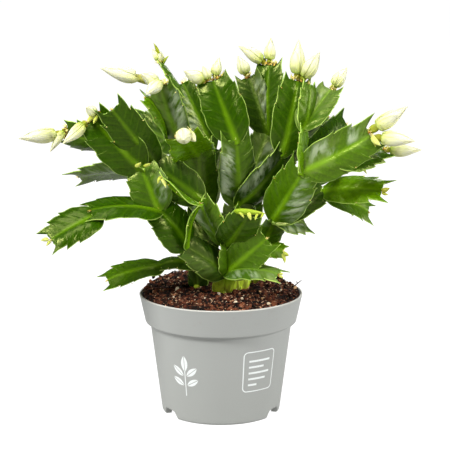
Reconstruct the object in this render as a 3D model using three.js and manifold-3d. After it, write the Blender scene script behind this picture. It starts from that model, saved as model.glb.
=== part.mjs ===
// A christmas cactus in a 12 cm nursery pot: flat jointed stems with toothed edges, cream flower buds at the
// tips, heaped peat and a grey plastic pot. Millimetres, +Z up. The pot stands on z = 0 with its axis on Z, and
// its front faces -Y.
import * as THREE from 'three';
import { mergeVertices } from 'three/addons/utils/BufferGeometryUtils.js';
import Module from 'manifold-3d';

const wasm = await Module();
wasm.setup();

// Pot
const RIM_RADIUS = 60;
const POT_HEIGHT = 88.7;
const BAND_FOOT_RADIUS = 55.8;
const BAND_FOOT_HEIGHT = 68.8;
const BODY_TOP_RADIUS = 51.9;
const BODY_TOP_HEIGHT = 65.4;
const FOOT_RADIUS = 43.8;
const FOOT_ROUND = 2;
const FOOT_INSIDE = 38.8;
const WALL = 1.6;
const LIP_CHAMFER = [0.5, 0.8];
const FLOOR_UNDERSIDE = 6.2;
const FLOOR_TOP = 8.2;
const POT_SIDES = 32;
const NOTCH_ANGLES = [62, 182, 302];
const NOTCH_HALF_WIDTH = 9.5;
const NOTCH_HEIGHT = 5.4;
const NOTCH_CROWN_SHARE = 0.4;
const NOTCH_SHOULDER_SHARE = 0.72;
const NOTCH_SHOULDER_DROP = 1.2;
const DRAIN_HOLES = 4;
const DRAIN_RADIUS = 3.2;
const DRAIN_CIRCLE = 27;

// Soil
const CLEARANCE = 0.3;
const SOIL_LEVEL = 88.4;
const SOIL_CROWN = 2.6;
const SOIL_BACK_HEAP = 8;
const SOIL_HEAP_START = -10;
const SOIL_HEAP_FALL = 0.55;
const SOIL_LEAN = 0.03;
const SOIL_LUMP = 0.7;
const SOIL_RINGS = [15, 31, 45];
const SOIL_SHORE = 1.2;

// Stem segments
const RIB_HALF = 1.5;
const WING_HALF = 0.85;
const EDGE_HALF = 0.36;
const RIB_FOOT = 0.22;
const WIDE_SEGMENT = 28;
const BLUNT_END = 0.75;
const TOOTH_LEAST = 0.9;
const TOOTH_SPREAD = 0.35;
const WAVE_TURNS = 7.5;
const JOINT_SINK = 2;
const ROOT_RADIUS = 3.2;
const ROOT_DEPTH = 11;
const ROOT_REACH = 4;
const ROOT_TAPER = 0.4;
const ROOT_SIDES = 6;

// Buds
const BUD_SIDES = 5;
const AREOLE_HALF = 2.2;
const AREOLE_THICK = 1.4;
const BUD_FOOT = 0.6;
const BUD_WAIST = [0.66, 0.75];
const BUD_BELLY = 0.42;

// The plant is laid out as it is seen from the front, from an eye this far off and this high. A place is
// given as [across, up, depth]: across and up are read on the upright plane through the pot's axis, and depth
// is how far the point lies behind that plane.
const EYE = new THREE.Vector3(3, -1050, 336);

function place([across, up, depth]) {
  const onPlane = new THREE.Vector3(across, 0, up);
  return onPlane.sub(EYE).multiplyScalar((depth - EYE.y) / -EYE.y).add(EYE);
}

// A number from 0 to 1 that is the same each time for the same n
function chance(n) {
  const v = Math.sin(n * 127.1 + 11.7) * 43758.5453;
  return v - Math.floor(v);
}

// Outline of a segment from its narrow neck to its cut-off end, as shares of its length and half width: where
// the row crosses the rib, and where it meets the edge. Two teeth and a horn point forwards on each side.
const NECK = [-0.05, -0.05, 0.13];
const SHOULDER = [0.1, 0.07, 0.63];
const BELLY = [0.34, 0.32, 1];
const FIRST_TOOTH = [0.52, 0.63, 1.1];
const FIRST_NOTCH = [0.6, 0.63, 0.94];
const SECOND_TOOTH = [0.74, 0.87, 1.02];
const SECOND_NOTCH = [0.8, 0.845, 0.77];
const HORN = [0.88, 1.08, 0.74];
const HORN_FOOT = [0.97, 0.985, 0.34];
const OUTLINE = [
  NECK, SHOULDER, BELLY, FIRST_TOOTH, FIRST_NOTCH, SECOND_TOOTH, SECOND_NOTCH, HORN, HORN_FOOT,
];

// Each segment: the segment that it grows from, its tip, its width, how far its face is turned from the
// viewer in degrees, how far its middle bows out, how far its edges stand up, and how much they wave. A
// rooted one gives the place of its root instead of a parent.
const STEMS = {
  stem_front: {
    front_base: { root: [1, 89, -15], tip: [4, 104, -21], width: 17, turn: 20 },
    front_fan_left: { from: 'front_base', tip: [-26, 123, -36], width: 25, turn: 28, bow: 2, cup: -1.5 },
    front_fan_right: { from: 'front_base', tip: [34, 129, -40], width: 25, turn: -12, bow: 2, cup: 2 },
    front_fan_middle: { from: 'front_base', tip: [4, 125, -24], width: 20, turn: 64 },
    front_low_right: { from: 'front_base', tip: [43, 101, -46], width: 20, turn: -70, bow: 4, cup: -2 },
    middle_wavy: {
      from: 'front_fan_middle', tip: [-15, 159, -34], width: 24, turn: -46, bow: 2, wave: 1.6,
    },
    middle_young: { from: 'front_fan_middle', tip: [20, 147, -48], width: 26, turn: 8, bow: 2, cup: 1 },
    left_dark: { from: 'front_fan_left', tip: [-46, 150, -44], width: 25, turn: 40, bow: 3, cup: -1 },
    left_edge_on: { from: 'front_fan_left', tip: [-15, 155, -50], width: 22, turn: 82, bow: -3, wave: 1 },
    reach_left_inner: { from: 'left_dark', tip: [-96, 149, -62], width: 27, turn: 66, bow: 4, cup: -2 },
    reach_left_outer: {
      from: 'reach_left_inner', base: [-88, 146, -60], tip: [-125, 127, -80],
      width: 25, turn: 34, bow: 3, cup: 1,
    },
    left_grey: { from: 'left_dark', tip: [-58, 181, -38], width: 25, turn: 8, bow: 2 },
    left_broad: { from: 'left_grey', tip: [-93, 217, -46], width: 30, turn: 4, bow: 3, cup: 1.5 },
    left_low: { from: 'left_grey', tip: [-104, 174, -12], width: 24, turn: -46, bow: -2 },
    mid_left: { from: 'middle_wavy', tip: [-49, 184, -28], width: 22, turn: 10, bow: 2, cup: 1 },
    left_upper: { from: 'mid_left', tip: [-79, 224, -58], width: 26, turn: 6, bow: 2 },
    left_behind: { from: 'mid_left', tip: [-77, 202, -8], width: 24, turn: 12 },
    left_far: { from: 'left_behind', tip: [-112, 207, -14], width: 26, turn: -30, bow: 2 },
    bright_edge: { from: 'left_edge_on', tip: [-43, 174, -56], width: 20, turn: 78, bow: -2, wave: 1 },
  },
  stem_left: {
    left_base: { root: [-17, 93, 0], tip: [-18, 108, -3], width: 16, turn: -20 },
    low_arch: { from: 'left_base', tip: [-45, 108, -12], width: 18, turn: 78, bow: 4 },
    low_reach: { from: 'low_arch', tip: [-84, 97, -24], width: 24, turn: 60, bow: 2, wave: 1 },
    left_riser: { from: 'left_base', tip: [-13, 150, 8], width: 22, turn: 30 },
    dark_riser: { from: 'left_riser', tip: [-6, 196, 22], width: 18, turn: 50 },
    silver_foot: { from: 'left_riser', tip: [-28, 199, 4], width: 24, turn: 30 },
    silver_fan: { from: 'silver_foot', tip: [-43, 242, -12], width: 24, turn: -26, bow: 2, wave: 1 },
    bright_strap: {
      from: 'silver_foot', base: [-40, 203, 0], tip: [-55, 232, -16], width: 18, turn: 78, bow: 3,
    },
    shaded_left: { from: 'silver_foot', tip: [-62, 215, 28], width: 24, turn: 20, bow: 1 },
    dark_crown: { from: 'dark_riser', tip: [-28, 243, 26], width: 24, turn: 34 },
    spur: { from: 'dark_crown', base: [-26, 232, 24], tip: [-43, 257, 34], width: 15, turn: 84 },
    inner_rib: { from: 'left_riser', tip: [-16, 200, -20], width: 25, turn: -12, bow: 1 },
    facing: {
      from: 'inner_rib', base: [-17, 190, -15], tip: [-27, 205, -58], width: 26, turn: 0, bow: 2, cup: 3,
    },
  },
  stem_centre: {
    centre_base: { root: [13, 91, -2], tip: [15, 120, 4], width: 18, turn: 20 },
    centre_riser: { from: 'centre_base', tip: [12, 155, -6], width: 26, turn: 30 },
    ribbed_lower: { from: 'centre_riser', tip: [11, 202, -23], width: 27, turn: 18, bow: 2, cup: -2 },
    ribbed_upper: { from: 'ribbed_lower', tip: [-6, 245, -14], width: 30, turn: 4, bow: 2, cup: 1 },
    centre_right: { from: 'centre_riser', tip: [46, 192, -12], width: 26, turn: 36, bow: 2, cup: 1 },
    silver_behind: { from: 'centre_riser', tip: [34, 208, 26], width: 24, turn: 10 },
    crown_dark: { from: 'silver_behind', tip: [19, 247, 26], width: 26, turn: 26, bow: 1 },
    crown_middle: { from: 'silver_behind', tip: [35, 256, 36], width: 26, turn: -26, bow: 1 },
    crown_right: { from: 'centre_right', tip: [55, 245, -4], width: 26, turn: 8, bow: 2, wave: 1 },
    crown_behind: { from: 'centre_right', tip: [78, 218, 26], width: 25, turn: 20, bow: 1 },
  },
  stem_right: {
    right_base: { root: [19, 97.5, 12], tip: [30, 124, 4], width: 18, turn: -20 },
    right_curl: { from: 'right_base', tip: [39, 143, -12], width: 22, turn: 30, cup: 2 },
    bright_rib: { from: 'right_curl', tip: [60, 179, -34], width: 31, turn: -10, bow: 2, cup: -2 },
    right_dark: { from: 'right_curl', tip: [76, 165, -2], width: 24, turn: -40, bow: 1 },
    right_grey: { from: 'right_curl', tip: [62, 139, 14], width: 19, turn: -58 },
    right_sprout: { from: 'right_base', tip: [46, 119, -8], width: 14, turn: -40 },
    reach_right: { from: 'bright_rib', tip: [109, 205, -42], width: 30, turn: 0, bow: 3, cup: 1.5 },
    upright_foot: { from: 'bright_rib', tip: [59, 211, -28], width: 22, turn: 70 },
    upright: { from: 'upright_foot', tip: [63, 242, -22], width: 22, turn: 54, bow: 1 },
    folded: { from: 'upright_foot', tip: [80, 238, -12], width: 25, turn: -44, cup: 2 },
    right_shade: { from: 'bright_rib', tip: [91, 213, 12], width: 25, turn: 10, bow: 1 },
    right_far: { from: 'reach_right', base: [86, 182, -39.6], tip: [118, 194, -24], width: 21, turn: -48 },
    low_right: { from: 'right_dark', tip: [118, 164, -24], width: 25, turn: -48, bow: 2 },
    low_right_under: { from: 'right_dark', tip: [108, 148, 8], width: 24, turn: -50, bow: 1 },
  },
  stem_back_left: {
    back_left_base: { root: [-12, 104, 24], tip: [-9, 120, 25], width: 18, turn: 160 },
    back_left_riser: { from: 'back_left_base', tip: [-15, 160, 30], width: 26, turn: 155 },
    back_left_out: { from: 'back_left_riser', tip: [-62, 196, 38], width: 26, turn: 150, bow: 2 },
    back_left_up: { from: 'back_left_riser', tip: [-20, 204, 46], width: 25, turn: 215, bow: 2 },
    back_left_droop: { from: 'back_left_riser', tip: [-46, 166, 68], width: 25, turn: 118, bow: 4 },
    back_left_far: { from: 'back_left_out', tip: [-80, 211, 62], width: 25, turn: 140, bow: 2 },
    back_left_crown: { from: 'back_left_up', tip: [-22, 234, 66], width: 25, turn: 222, bow: 2 },
  },
  stem_back_right: {
    back_right_base: { root: [12, 103, 26], tip: [15, 120, 28], width: 18, turn: 200 },
    back_right_riser: { from: 'back_right_base', tip: [22, 162, 34], width: 26, turn: 205 },
    back_right_out: { from: 'back_right_riser', tip: [54, 196, 44], width: 26, turn: 205, bow: 2 },
    back_right_side: { from: 'back_right_riser', tip: [66, 170, 54], width: 25, turn: 225, bow: 3 },
    back_right_up: { from: 'back_right_riser', tip: [8, 206, 46], width: 25, turn: 142, bow: 2 },
    back_right_droop: { from: 'back_right_riser', tip: [14, 166, 76], width: 25, turn: 170, bow: 4 },
    back_right_crown: { from: 'back_right_out', tip: [60, 228, 58], width: 25, turn: 215, bow: 2 },
    back_right_reach: { from: 'back_right_side', tip: [92, 182, 72], width: 25, turn: 230, bow: 2 },
    back_right_top: { from: 'back_right_up', tip: [4, 236, 66], width: 25, turn: 140, bow: 2 },
  },
};

// Buds at the tip of a segment, each with its point, its radius and how far aside it stands on the tip
const BUDS = {
  left_far: [
    { tip: [-147, 202, -30], radius: 5.6, side: -2 },
    { tip: [-124, 192, -22], radius: 2.8, side: 3 },
  ],
  left_broad: [
    { tip: [-115, 198, -58], radius: 4.2, side: -5 },
    { tip: [-97, 225, -54], radius: 3.6, side: 4 },
  ],
  silver_fan: [
    { tip: [-87, 253, -20], radius: 5.2, side: -3 },
    { tip: [-58, 249, -22], radius: 4.6, side: -2 },
    { tip: [-54, 234, -34], radius: 4.6, side: 0 },
  ],
  spur: [
    { tip: [-49, 267, 36], radius: 2.7, side: -1 },
    { tip: [-43, 265, 30], radius: 2.6, side: 1 },
  ],
  facing: [
    { tip: [-27, 201, -82], radius: 5.6, side: 0 },
    { tip: [-18, 200, -72], radius: 2.8, side: 4 },
  ],
  ribbed_upper: [
    { tip: [-27, 251, -22], radius: 4.8, side: -6 },
    { tip: [-13, 255, -18], radius: 3.4, side: -2 },
    { tip: [-1, 261, -14], radius: 3.6, side: 2 },
  ],
  crown_dark: [{ tip: [12, 262, 24], radius: 4.6, side: 0 }],
  crown_middle: [
    { tip: [12, 269, 34], radius: 4.8, side: -4 },
    { tip: [36, 275, 38], radius: 4.2, side: 0 },
  ],
  crown_right: [
    { tip: [56, 274, -6], radius: 5.6, side: 0 },
    { tip: [71, 265, -12], radius: 5.6, side: 3 },
  ],
  folded: [{ tip: [91, 254, -14], radius: 4.6, side: 0 }],
  reach_right: [
    { tip: [135, 226, -48], radius: 5.6, side: -3 },
    { tip: [141, 200, -52], radius: 5.6, side: 3 },
  ],
  right_far: [{ tip: [146, 194, -26], radius: 4.6, side: 0 }],
  back_left_far: [{ tip: [-92, 217, 82], radius: 5, side: 0 }],
  back_left_crown: [{ tip: [-26, 248, 84], radius: 4.6, side: 0 }],
  back_left_droop: [{ tip: [-52, 160, 86], radius: 4.4, side: 0 }],
  back_right_crown: [
    { tip: [62, 244, 78], radius: 5, side: 2 },
    { tip: [52, 236, 76], radius: 3.6, side: -3 },
  ],
  back_right_reach: [{ tip: [104, 184, 88], radius: 5, side: 0 }],
};

const matte = (color, roughness) => new THREE.MeshStandardMaterial({ color, roughness, metalness: 0 });
const POT_GREY = matte(0xadb1aa, 0.5);
const PEAT = matte(0x33211a, 0.95);
const STEM_GREEN = matte(0x35700f, 0.42);
const STEM_SHADED = matte(0x2a5a12, 0.45);
const BUD_CREAM = matte(0xeef0c8, 0.5);

function solidOf(geometry) {
  geometry.deleteAttribute('normal');
  geometry.deleteAttribute('uv');
  const merged = mergeVertices(geometry, 1e-3);
  const mesh = new wasm.Mesh({
    numProp: 3,
    vertProperties: Float32Array.from(merged.attributes.position.array),
    triVerts: Uint32Array.from(merged.index.array),
  });
  return new wasm.Manifold(mesh);
}

function surfaceOf(points, triangles) {
  const geometry = new THREE.BufferGeometry();
  geometry.setAttribute('position', new THREE.Float32BufferAttribute(points.flatMap((p) => p.toArray()), 3));
  geometry.setIndex(triangles);
  return geometry;
}

function pieceOf(name, solid, material) {
  const body = solid.decompose().sort((a, b) => b.volume() - a.volume())[0];
  const { vertProperties, triVerts } = body.getMesh();
  const geometry = new THREE.BufferGeometry();
  geometry.setAttribute('position', new THREE.BufferAttribute(vertProperties, 3));
  geometry.setIndex(new THREE.BufferAttribute(triVerts, 1));
  const piece = new THREE.Mesh(mergeVertices(geometry, 1e-3), material);
  piece.name = name;
  return piece;
}

const union = (solids) => solids.reduce((whole, next) => whole.add(next));

// A round bar from one point towards another, whose ends have their own radii
function taperedBar(from, to, fromRadius, toRadius, sides) {
  const length = from.distanceTo(to);
  const bar = new THREE.CylinderGeometry(toRadius, fromRadius, length, sides);
  const along = to.clone().sub(from).normalize();
  const turn = new THREE.Quaternion().setFromUnitVectors(new THREE.Vector3(0, 1, 0), along);
  bar.applyQuaternion(turn);
  bar.translate(...from.clone().add(to).multiplyScalar(0.5).toArray());
  return solidOf(bar);
}

// Pot: one turned wall from the recessed floor over the rim and back down, with arched notches in its foot
function potProfile() {
  const bandInside = BAND_FOOT_RADIUS - WALL;
  const bodyInside = BODY_TOP_RADIUS - WALL;
  const footInside = FOOT_RADIUS - WALL;
  const foot = [0, 45, 90].map((degrees) => {
    const angle = (degrees * Math.PI) / 180;
    const across = FOOT_RADIUS - FOOT_ROUND + FOOT_ROUND * Math.sin(angle);
    return [across, FOOT_ROUND * (1 - Math.cos(angle))];
  });
  return [
    [0, FLOOR_UNDERSIDE],
    [FOOT_INSIDE - 0.5, FLOOR_UNDERSIDE],
    [FOOT_INSIDE, 0],
    ...foot,
    [BODY_TOP_RADIUS, BODY_TOP_HEIGHT],
    [BAND_FOOT_RADIUS, BAND_FOOT_HEIGHT],
    [RIM_RADIUS, POT_HEIGHT - LIP_CHAMFER[1]],
    [RIM_RADIUS - LIP_CHAMFER[0], POT_HEIGHT],
    [RIM_RADIUS - WALL, POT_HEIGHT],
    [bandInside, BAND_FOOT_HEIGHT],
    [bodyInside, BODY_TOP_HEIGHT],
    [footInside, FLOOR_TOP],
    [0, FLOOR_TOP],
  ].map(([r, z]) => new THREE.Vector2(r, z));
}

function turned(profile, sides) {
  const lathe = new THREE.LatheGeometry(profile, sides);
  lathe.rotateX(Math.PI / 2);
  return solidOf(lathe);
}

function footNotch(degrees) {
  const crown = NOTCH_HALF_WIDTH * NOTCH_CROWN_SHARE;
  const shoulder = NOTCH_HALF_WIDTH * NOTCH_SHOULDER_SHARE;
  const bend = shoulder - NOTCH_SHOULDER_DROP * 0.8;
  const arch = new THREE.Shape();
  arch.moveTo(-NOTCH_HALF_WIDTH, -1);
  arch.lineTo(NOTCH_HALF_WIDTH, -1);
  arch.lineTo(shoulder, NOTCH_HEIGHT - NOTCH_SHOULDER_DROP);
  arch.quadraticCurveTo(bend, NOTCH_HEIGHT, crown, NOTCH_HEIGHT);
  arch.lineTo(-crown, NOTCH_HEIGHT);
  arch.quadraticCurveTo(-bend, NOTCH_HEIGHT, -shoulder, NOTCH_HEIGHT - NOTCH_SHOULDER_DROP);
  const cutter = new THREE.ExtrudeGeometry(arch, { depth: 20, bevelEnabled: false, curveSegments: 3 });
  cutter.rotateX(Math.PI / 2);
  cutter.translate(0, -FOOT_RADIUS + 14, 0);
  cutter.rotateZ((degrees * Math.PI) / 180);
  return solidOf(cutter);
}

function drainHole(index) {
  const angle = ((index + 0.5) / DRAIN_HOLES) * 2 * Math.PI;
  const x = DRAIN_CIRCLE * Math.cos(angle);
  const y = DRAIN_CIRCLE * Math.sin(angle);
  const under = new THREE.Vector3(x, y, FLOOR_UNDERSIDE - 2);
  const over = new THREE.Vector3(x, y, FLOOR_TOP + 2);
  return taperedBar(under, over, DRAIN_RADIUS, DRAIN_RADIUS, 10);
}

function makePot() {
  const notches = NOTCH_ANGLES.map(footNotch);
  const holes = Array.from({ length: DRAIN_HOLES }, (_, index) => drainHole(index));
  return turned(potProfile(), POT_SIDES).subtract(union([...notches, ...holes]));
}

// Soil: heaped towards the middle and the back, lumpy on top, with a plain hole for each rooted stem
function soilTop(x, y) {
  const share = Math.hypot(x, y) / RIM_RADIUS;
  const back = Math.max(0, (y - SOIL_HEAP_START) / RIM_RADIUS);
  const heap = back * SOIL_BACK_HEAP * (1 - SOIL_HEAP_FALL * share ** 4);
  const lumps = SOIL_LUMP * (Math.sin(x * 0.33 + y * 0.21) + Math.sin(y * 0.41 - x * 0.17 + 2));
  return SOIL_LEVEL + SOIL_CROWN * (1 - share ** 2) + heap - SOIL_LEAN * x + lumps;
}

function makeSoil(holes) {
  const inside = (radius) => radius - WALL - CLEARANCE - 0.1;
  const shoreTop = (x, y) => Math.min(soilTop(x, y) - 1, POT_HEIGHT + 0.6);
  const rings = [
    ...SOIL_RINGS.map((radius) => ({ radius, top: soilTop })),
    { radius: inside(RIM_RADIUS) - SOIL_SHORE, top: shoreTop },
    { radius: inside(BAND_FOOT_RADIUS), top: () => BAND_FOOT_HEIGHT + CLEARANCE },
    { radius: inside(BODY_TOP_RADIUS), top: () => BODY_TOP_HEIGHT + CLEARANCE },
    { radius: inside(FOOT_RADIUS), top: () => FLOOR_TOP + CLEARANCE },
  ];
  const points = [new THREE.Vector3(0, 0, soilTop(0, 0))];
  rings.forEach(({ radius, top }) => {
    for (let i = 0; i < POT_SIDES; i += 1) {
      const angle = (i / POT_SIDES) * 2 * Math.PI;
      const [x, y] = [radius * Math.sin(angle), radius * Math.cos(angle)];
      points.push(new THREE.Vector3(x, y, top(x, y)));
    }
  });
  points.push(new THREE.Vector3(0, 0, FLOOR_TOP + CLEARANCE));
  const triangles = [];
  const last = points.length - 1;
  for (let i = 0; i < POT_SIDES; i += 1) {
    const j = (i + 1) % POT_SIDES;
    triangles.push(0, 1 + j, 1 + i);
    for (let ring = 0; ring < rings.length - 1; ring += 1) {
      const a = 1 + ring * POT_SIDES;
      const b = a + POT_SIDES;
      triangles.push(a + i, a + j, b + i, a + j, b + j, b + i);
    }
    const low = 1 + (rings.length - 1) * POT_SIDES;
    triangles.push(low + i, low + j, last);
  }
  return solidOf(surfaceOf(points, triangles)).subtract(union(holes));
}

// The place of a segment: its line from base to tip and the directions of its face and its width
function layOut(name, spec, base, index) {
  const tip = place(spec.tip);
  const along = tip.clone().sub(base);
  const length = along.length();
  along.normalize();
  const viewer = new THREE.Vector3(0, -1, 0);
  viewer.addScaledVector(along, -viewer.dot(along)).normalize();
  const aside = new THREE.Vector3().crossVectors(along, viewer);
  const turn = (spec.turn * Math.PI) / 180;
  const face = viewer.multiplyScalar(Math.cos(turn)).addScaledVector(aside, Math.sin(turn));
  const side = new THREE.Vector3().crossVectors(along, face);
  return { bow: 0, cup: 0, wave: 0, ...spec, name, base, tip, along, face, side, length, index };
}

// A point of a segment: t runs along the rib, across is in half widths, and up is off the blade's mid surface
function bladePoint(seg, t, across, up, grow = 0) {
  const half = seg.width / 2;
  const ends = t < 0.5 ? -grow : grow;
  const reach = t * seg.length + ends;
  const bowed = seg.bow * 4 * t * (1 - t);
  const cupped = seg.cup * across * across;
  const waved = seg.wave * across * Math.sin(WAVE_TURNS * t + seg.index);
  const width = across * half + Math.sign(across) * grow;
  return seg.base.clone()
    .addScaledVector(seg.along, reach)
    .addScaledVector(seg.side, width)
    .addScaledVector(seg.face, bowed + cupped + waved + up);
}

// A segment's solid: the same grid of rows on both faces, thickest at the rib, closed round its edge. With
// grow it is that much larger all round, to cut a neighbour clear of it.
function segmentSolid(seg, grow = 0, outline = OUTLINE) {
  const wideRib = seg.width >= WIDE_SEGMENT && !grow;
  const columns = wideRib ? [-1, -RIB_FOOT, 0, RIB_FOOT, 1] : [-1, 0, 1];
  const thickness = { 0: RIB_HALF, [RIB_FOOT]: WING_HALF, 1: EDGE_HALF };
  const tooth = TOOTH_LEAST + TOOTH_SPREAD * chance(seg.index);
  const rows = outline.map(([centre, edge, across]) => {
    const pointed = across > 1 ? 1 + (across - 1) * tooth : across;
    return { centre, edge, across: pointed };
  });
  const points = [];
  [1, -1].forEach((upper) => {
    rows.forEach((row) => columns.forEach((column) => {
      const outer = Math.abs(column) === 1;
      const t = outer ? row.edge : row.centre;
      const across = outer ? column * row.across : Math.sign(column) * Math.min(RIB_FOOT, row.across * 0.6);
      const end = row === rows.at(-1) || row === rows[0] ? BLUNT_END : 1;
      const half = thickness[Math.abs(column)] * end + grow;
      points.push(bladePoint(seg, t, across, upper * half, grow));
    }));
  });
  const wide = columns.length;
  const under = rows.length * wide;
  const triangles = [];
  const quad = (a, b, c, d) => triangles.push(a, b, c, a, c, d);
  for (let row = 0; row < rows.length - 1; row += 1) {
    for (let column = 0; column < wide - 1; column += 1) {
      const a = row * wide + column;
      const [b, c, d] = [a + 1, a + wide + 1, a + wide];
      // split from the rib outwards on both halves, so that a tooth's tip keeps its own triangle
      const split = columns[column] >= 0 ? [a, b, c, d] : [b, c, d, a];
      quad(...split);
      quad(split[0] + under, split[3] + under, split[2] + under, split[1] + under);
    }
    const [edge, next] = [row * wide, (row + 1) * wide];
    quad(edge, next, next + under, edge + under);
    const [far, farNext] = [edge + wide - 1, next + wide - 1];
    quad(far, far + under, farNext + under, farNext);
  }
  for (let column = 0; column < wide - 1; column += 1) {
    const [a, b] = [column, column + 1];
    quad(a, a + under, b + under, b);
    const [c, d] = [a + (rows.length - 1) * wide, b + (rows.length - 1) * wide];
    quad(c, d, d + under, c + under);
  }
  return solidOf(surfaceOf(points, triangles));
}

// Every segment of every stem, laid out from its parent's tip
const segments = new Map();
Object.entries(STEMS).forEach(([stem, specs]) => {
  Object.entries(specs).forEach(([name, spec]) => {
    const start = spec.root ?? spec.base;
    const base = start ? place(start) : segments.get(spec.from).tip.clone();
    if (!start) base.addScaledVector(segments.get(spec.from).along, -JOINT_SINK);
    segments.set(name, { ...layOut(name, spec, base, segments.size), stem });
  });
});

// The rooted foot of a stem, a short round bar from the soil up into its first segment
function rootBar(seg, grow = 0) {
  const low = seg.base.clone().setZ(seg.base.z - ROOT_DEPTH - grow);
  const high = seg.base.clone().addScaledVector(seg.along, ROOT_REACH);
  return taperedBar(low, high, ROOT_RADIUS - ROOT_TAPER + grow, ROOT_RADIUS + grow, ROOT_SIDES);
}

const membersOf = (stem) => [...segments.values()].filter((seg) => seg.stem === stem);

function makeStem(stem) {
  const members = membersOf(stem);
  const roots = members.filter((seg) => seg.root).map((seg) => rootBar(seg));
  return union([...members.map((seg) => segmentSolid(seg)), ...roots]);
}

// A bud: a short green cup, then the furled petals, fullest in their first half and drawn out to a point
function budSolid(base, tip, radius) {
  const length = base.distanceTo(tip);
  const profile = [
    [0, 0],
    [Math.min(radius * BUD_FOOT, AREOLE_HALF), 0],
    [radius, length * BUD_BELLY],
    [radius * BUD_WAIST[0], length * BUD_WAIST[1]],
    [0, length],
  ].map(([r, y]) => new THREE.Vector2(r, y));
  const bud = new THREE.LatheGeometry(profile, BUD_SIDES);
  const along = tip.clone().sub(base).normalize();
  bud.applyQuaternion(new THREE.Quaternion().setFromUnitVectors(new THREE.Vector3(0, 1, 0), along));
  bud.translate(...base.toArray());
  return solidOf(bud);
}

// Where a bud stands: off the cut-off end by the clearance and the cushion's half thickness
function budPlace(seg, side) {
  const end = bladePoint(seg, HORN_FOOT[1], (2 * side) / seg.width, 0);
  return end.addScaledVector(seg.along, CLEARANCE + AREOLE_THICK);
}

// The woolly cushion on a segment's cut-off end, wide enough to carry the buds that stand on it
function areoleSolid(seg, sides) {
  const reach = AREOLE_HALF + Math.max(0, ...sides.map((side) => Math.abs(side)));
  const cushion = new THREE.OctahedronGeometry(1);
  cushion.scale(reach, AREOLE_THICK, AREOLE_HALF);
  const axes = new THREE.Matrix4().makeBasis(seg.side, seg.along, seg.face);
  cushion.applyMatrix4(axes);
  cushion.translate(...budPlace(seg, 0).toArray());
  return solidOf(cushion);
}

function makeBuds(name) {
  const seg = segments.get(name);
  const buds = BUDS[name];
  const solids = buds.map((bud) => {
    return budSolid(budPlace(seg, bud.side), place(bud.tip), bud.radius);
  });
  const cluster = union([areoleSolid(seg, buds.map((bud) => bud.side)), ...solids]);
  return cluster.subtract(segmentSolid(seg, CLEARANCE, OUTLINE.slice(-4)));
}

const plant = new THREE.Group();
plant.add(pieceOf('pot', makePot(), POT_GREY));
const rooted = [...segments.values()].filter((seg) => seg.root);
plant.add(pieceOf('soil', makeSoil(rooted.map((seg) => rootBar(seg, CLEARANCE))), PEAT));
Object.keys(STEMS).forEach((stem, index) => {
  plant.add(pieceOf(stem, makeStem(stem), index % 2 ? STEM_SHADED : STEM_GREEN));
});
Object.keys(BUDS).forEach((name) => {
  plant.add(pieceOf(`buds_${name}`, makeBuds(name), BUD_CREAM));
});

export default plant;
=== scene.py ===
"""Looks of a christmas cactus in a nursery pot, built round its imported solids.

The joints and buds are laid out in millimetres with the same places as the solids, and their finer
surfaces are worked out as whole arrays. Every mesh is stored in metres in the row's frame.
"""

import logging
import math
from collections.abc import Callable, Sequence
from dataclasses import astuple, dataclass, field
from enum import Enum
from functools import cached_property

import bpy
import numpy as np
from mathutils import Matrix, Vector
from numpy.typing import NDArray

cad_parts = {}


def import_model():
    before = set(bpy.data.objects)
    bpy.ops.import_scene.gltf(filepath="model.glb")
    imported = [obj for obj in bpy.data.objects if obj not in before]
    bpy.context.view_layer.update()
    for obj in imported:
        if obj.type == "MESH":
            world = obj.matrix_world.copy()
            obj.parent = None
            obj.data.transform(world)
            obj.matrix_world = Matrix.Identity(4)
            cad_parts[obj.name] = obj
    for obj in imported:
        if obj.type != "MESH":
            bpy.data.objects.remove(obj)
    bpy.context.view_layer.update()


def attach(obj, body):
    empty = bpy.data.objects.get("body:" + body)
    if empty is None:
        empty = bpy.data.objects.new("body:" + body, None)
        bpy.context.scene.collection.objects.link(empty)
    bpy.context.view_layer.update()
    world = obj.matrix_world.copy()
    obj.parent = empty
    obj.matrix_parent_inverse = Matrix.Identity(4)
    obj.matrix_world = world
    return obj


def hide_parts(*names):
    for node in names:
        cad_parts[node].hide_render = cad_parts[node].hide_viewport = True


Array = NDArray[np.float64]
Faces = NDArray[np.int64]
Spot = tuple[float, float, float]
Colour = tuple[float, float, float]
Pixel = tuple[float, float]
Numbers = tuple[float, ...]
Material = bpy.types.Material

log = logging.getLogger("christmas_cactus")

MM = 0.001
BODY = "root"
UP = np.array([0.0, 0.0, 1.0])
TO_VIEWER = np.array([0.0, -1.0, 0.0])
LEAST_LENGTH = 1e-9
WHITE = (1.0, 1.0, 1.0)

# Pot, as in the solids
RIM_RADIUS = 60.0
POT_HEIGHT = 88.7
BAND_FOOT_RADIUS = 55.8
BAND_FOOT_HEIGHT = 68.8
BODY_TOP_RADIUS = 51.9
BODY_TOP_HEIGHT = 65.4
FOOT_RADIUS = 43.8
FOOT_ROUND = 2.0
FOOT_INSIDE = 38.8
WALL = 1.6
FLOOR_UNDERSIDE = 6.2
FLOOR_TOP = 8.2
NOTCH_ANGLES = (62.0, 182.0, 302.0)
NOTCH_HEIGHT = 5.4
DRAIN_HOLES = 4
DRAIN_RADIUS = 3.2
DRAIN_CIRCLE = 27.0

# Peat, as in the solids
CLEARANCE = 0.3
SOIL_LEVEL = 88.4
SOIL_CROWN = 2.6
SOIL_BACK_HEAP = 8.0
SOIL_HEAP_START = -10.0
SOIL_HEAP_FALL = 0.55
SOIL_LEAN = 0.03
SOIL_LUMP = 0.7
SOIL_REACH = 56.0

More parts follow.
